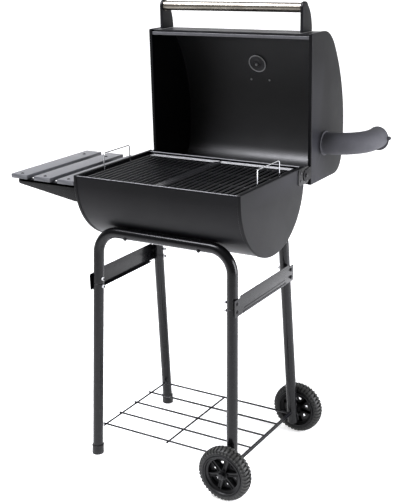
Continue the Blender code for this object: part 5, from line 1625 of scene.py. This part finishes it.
class GRILL_OT_shelves(Operator):
    """Wire bottom shelf, and the side shelf of painted slats on two wedge brackets"""

    bl_idname = "grill.shelves"
    bl_label = "Shelves"

    def execute(self, context):
        sizes = context.scene.grill_sizes
        self.build_wire_shelf(sizes)
        screws = self.build_slats(sizes)
        self.build_brackets(sizes)
        head = bmesh.new()
        profile = [(0, -0.010), (0.0018, -0.0095), (0.0018, -0.0002), (0.0054, -0.0002), (0.0053, 0.0008)]
        profile += [(0.0040, 0.0019), (0.0020, 0.0022), (0.0015, 0.0009), (0, 0.0009)]
        add_turned(head, profile, sides=20)
        made = copies(head, screws, "powder_coat")
        add_piece("slat_screws", made, "powder_coat", "trolley", "bright_zinc")
        return {"FINISHED"}

    def build_wire_shelf(self, sizes):
        """Round wires along and across, welded where they meet."""
        low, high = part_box("wire_shelf")
        middle = middle_of("firebox_wrap")
        wire = sizes.shelf_wire
        level = high.z - wire
        lines = []
        for index in range(5):
            y = middle.y + SHELF_WIRE_SPACING * (index - 2)
            lines.append([(low.x, y, level), (high.x - 0.006, y, level)])
        coat = "powder_coat"
        shelf = bmesh.new()
        join_mesh(shelf, wires(lines, wire, coat, sides=12))
        cross = []
        for x in SHELF_CROSS_X:
            at = middle.x + x
            cross.append([(at, low.y, level - wire * 0.9), (at, high.y, level - wire * 0.9)])
        join_mesh(shelf, wires(cross, wire, coat, sides=12))
        end = [(middle.x + SHELF_END_X, y, level - wire * 0.5) for y in (low.y, high.y)]
        join_mesh(shelf, wires([end], sizes.shelf_end_wire, coat, sides=14))
        add_piece("wire_shelf_welded", shelf, coat, "trolley", "frame_paint", "wire_shelf")

    def build_slats(self, sizes):
        """The three slats of the side shelf."""
        screws = []
        front = middle_of("shelf_bracket_front").y
        rear = middle_of("shelf_bracket_rear").y
        for index in range(3):
            node = f"shelf_slat_{index + 1}"
            low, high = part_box(node)
            outline = [(low.x, low.z), (high.x, low.z), (high.x, high.z), (low.x, high.z)]
            slat = bmesh.new()
            add_plate(slat, round_corners(outline, sizes.slat_edge), low.y, high.y, "Y", 0.0012, 4)
            add_piece(f"{node}_painted", slat, "painted_wood", "trolley", "painted_slat", node)
            x = (low.x + high.x) / 2
            screws += [((x, front, high.z), UP), ((x, rear, high.z), UP)]
        return screws

    def build_brackets(self, sizes):
        """The two wedge brackets under the side shelf."""
        for name, side in SIDES_Y:
            low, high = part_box(f"shelf_bracket_{name}")
            face = low.y if side < 0 else high.y
            outline = [(high.x, low.z), (high.x, high.z), (low.x, high.z), (low.x, high.z - 0.0155)]
            bracket = bmesh.new()
            wedge = round_corners(outline, 0.0075)
            add_plate(bracket, wedge, face - side * 0.0015, face, "Y", sizes.plate_edge)
            ledge = [(face, high.z - 0.008), (face, high.z), (face - side * 0.018, high.z)]
            if side > 0:
                ledge.reverse()
            add_strip(bracket, ledge, -0.0013, low.x + 0.002, high.x - 0.001, 0.0016)
            flange = [(high.x - 0.0015, face), (high.x - 0.0015, face - side * 0.019)]
            add_strip(bracket, flange, 0.0012 * side, low.z + 0.003, high.z - 0.003, 0.001, "Z")
            add_piece(
                f"shelf_bracket_{name}_pressed", bracket, "powder_coat", "trolley", "frame_paint",
                f"shelf_bracket_{name}",
            )


# ---- stage ---------------------------------------------------------------------------------------


class GRILL_OT_finishes(Operator):
    """Makes the finishes of all pieces"""

    bl_idname = "grill.finishes"
    bl_label = "Finishes"

    def execute(self, context):
        make_finishes(context.scene.grill_colours)
        return {"FINISHED"}


class GRILL_OT_stage(Operator):
    """Pale floor, soft lights and the camera"""

    bl_idname = "grill.stage"
    bl_label = "Studio"

    def execute(self, context):
        self.build_floor(context.scene.grill_colours)
        self.build_world()
        for softbox in SOFTBOXES:
            self.add_softbox(*softbox)
        self.build_camera()
        context.scene.view_settings.view_transform = "Standard"
        return {"FINISHED"}

    def build_floor(self, colours):
        """A pale paper sweep that rises behind the grill."""
        facing = Matrix.Rotation(CAMERA_AZIMUTH, 4, "Z")
        profile = [(-14.0, 0.0), (5.0, 0.0)] + arc((5.0, 2.0), 2.0, -pi / 2, 0, 24)[1:] + [(7.0, 8.0)]
        sweep = bmesh.new()
        loft(sweep, [at_plane("X", x, profile) for x in (-14, 14)], closed_ends=False, closed_rings=False)
        sweep.transform(facing)
        mesh = as_mesh("sweep", sweep)
        floor = bpy.data.objects.new("sweep", mesh)
        bpy.context.scene.collection.objects.link(floor)
        paper, tree, where = blank_material("matt_white_paper")
        grain = noise(tree, where, 300.0)
        bump = add_node(tree, "ShaderNodeBump", {"Distance": 0.00005, "Height": grain}).outputs[0]
        close_material(
            tree,
            {
                "Base Color": linear(colours.floor),
                "Roughness": 0.9,
                "Specular IOR Level": 0.0,
                "Normal": bump,
                "Emission Color": linear(colours.floor),
                "Emission Strength": PAPER_GLOW,
            },
        )
        mesh.materials.append(paper)

    def build_world(self):
        """Even, weak light from all round."""
        world = bpy.data.worlds.new("studio")
        world.use_nodes = True
        tree = world.node_tree
        tree.nodes.clear()
        light = add_node(tree, "ShaderNodeBackground", {"Color": (1, 1, 1, 1), "Strength": WORLD_STRENGTH})
        add_node(tree, "ShaderNodeOutputWorld", {"Surface": light.outputs[0]})
        bpy.context.scene.world = world

    def add_softbox(self, name, at, target, width, height, power):
        """A large lamp aimed at a target."""
        light = bpy.data.lights.new(name, "AREA")
        light.shape = "RECTANGLE"
        light.size = width
        light.size_y = height
        light.energy = power
        light.color = SOFTBOX_COLOUR
        lamp = bpy.data.objects.new(name, light)
        lamp.location = at
        lamp.rotation_euler = (Vector(target) - Vector(at)).to_track_quat("-Z", "Y").to_euler()
        bpy.context.scene.collection.objects.link(lamp)

    def build_camera(self):
        """The camera in front of the grill, to its right."""
        azimuth, elevation, roll = CAMERA_AZIMUTH, CAMERA_ELEVATION, CAMERA_ROLL
        back = Vector((sin(azimuth) * cos(elevation), -cos(azimuth) * cos(elevation), sin(elevation)))
        right = Vector((cos(azimuth), sin(azimuth), 0))
        upward = back.cross(right)
        turned_right = right * cos(roll) + upward * sin(roll)
        turned_up = upward * cos(roll) - right * sin(roll)
        data = bpy.data.cameras.new("camera")
        data.sensor_fit = "HORIZONTAL"
        data.sensor_width = 36
        data.lens = CAMERA_LENS
        camera = bpy.data.objects.new("camera", data)
        matrix = Matrix((turned_right, turned_up, back)).transposed().to_4x4()
        matrix.translation = CAMERA_PLACE
        camera.matrix_world = matrix
        bpy.context.scene.collection.objects.link(camera)
        bpy.context.scene.camera = camera


class GRILL_PT_panel(Panel):
    """Sizes, colours and the steps that build the grill"""

    bl_idname = "GRILL_PT_panel"
    bl_label = "Grill"
    bl_space_type = "VIEW_3D"
    bl_region_type = "UI"
    bl_category = "Grill"

    def draw(self, context):
        for step in STEPS:
            self.layout.operator(step.bl_idname)
        for group in (context.scene.grill_sizes, context.scene.grill_colours):
            column = self.layout.column()
            for name in group.__annotations__:
                column.prop(group, name)


STEPS = (
    GRILL_OT_finishes,
    GRILL_OT_firebox,
    GRILL_OT_fire_grates,
    GRILL_OT_lid,
    GRILL_OT_hinges,
    GRILL_OT_handle,
    GRILL_OT_thermometer,
    GRILL_OT_chimney,
    GRILL_OT_trolley,
    GRILL_OT_braces,
    GRILL_OT_wheels,
    GRILL_OT_shelves,
    GRILL_OT_stage,
)
CLASSES = (GrillSizes, GrillColours, *STEPS, GRILL_PT_panel)


def register():
    for made in CLASSES:
        bpy.utils.register_class(made)
    bpy.types.Scene.grill_sizes = PointerProperty(type=GrillSizes)
    bpy.types.Scene.grill_colours = PointerProperty(type=GrillColours)


def unregister():
    del bpy.types.Scene.grill_sizes
    del bpy.types.Scene.grill_colours
    for made in reversed(CLASSES):
        bpy.utils.unregister_class(made)


def main():
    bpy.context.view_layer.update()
    register()
    bpy.ops.grill.finishes()
    bpy.ops.grill.firebox()
    bpy.ops.grill.fire_grates()
    bpy.ops.grill.lid()
    bpy.ops.grill.hinges()
    bpy.ops.grill.handle()
    bpy.ops.grill.thermometer()
    bpy.ops.grill.chimney()
    bpy.ops.grill.trolley()
    bpy.ops.grill.braces()
    bpy.ops.grill.wheels()
    bpy.ops.grill.shelves()
    bpy.ops.grill.stage()


if __name__ == "__main__":
    main()
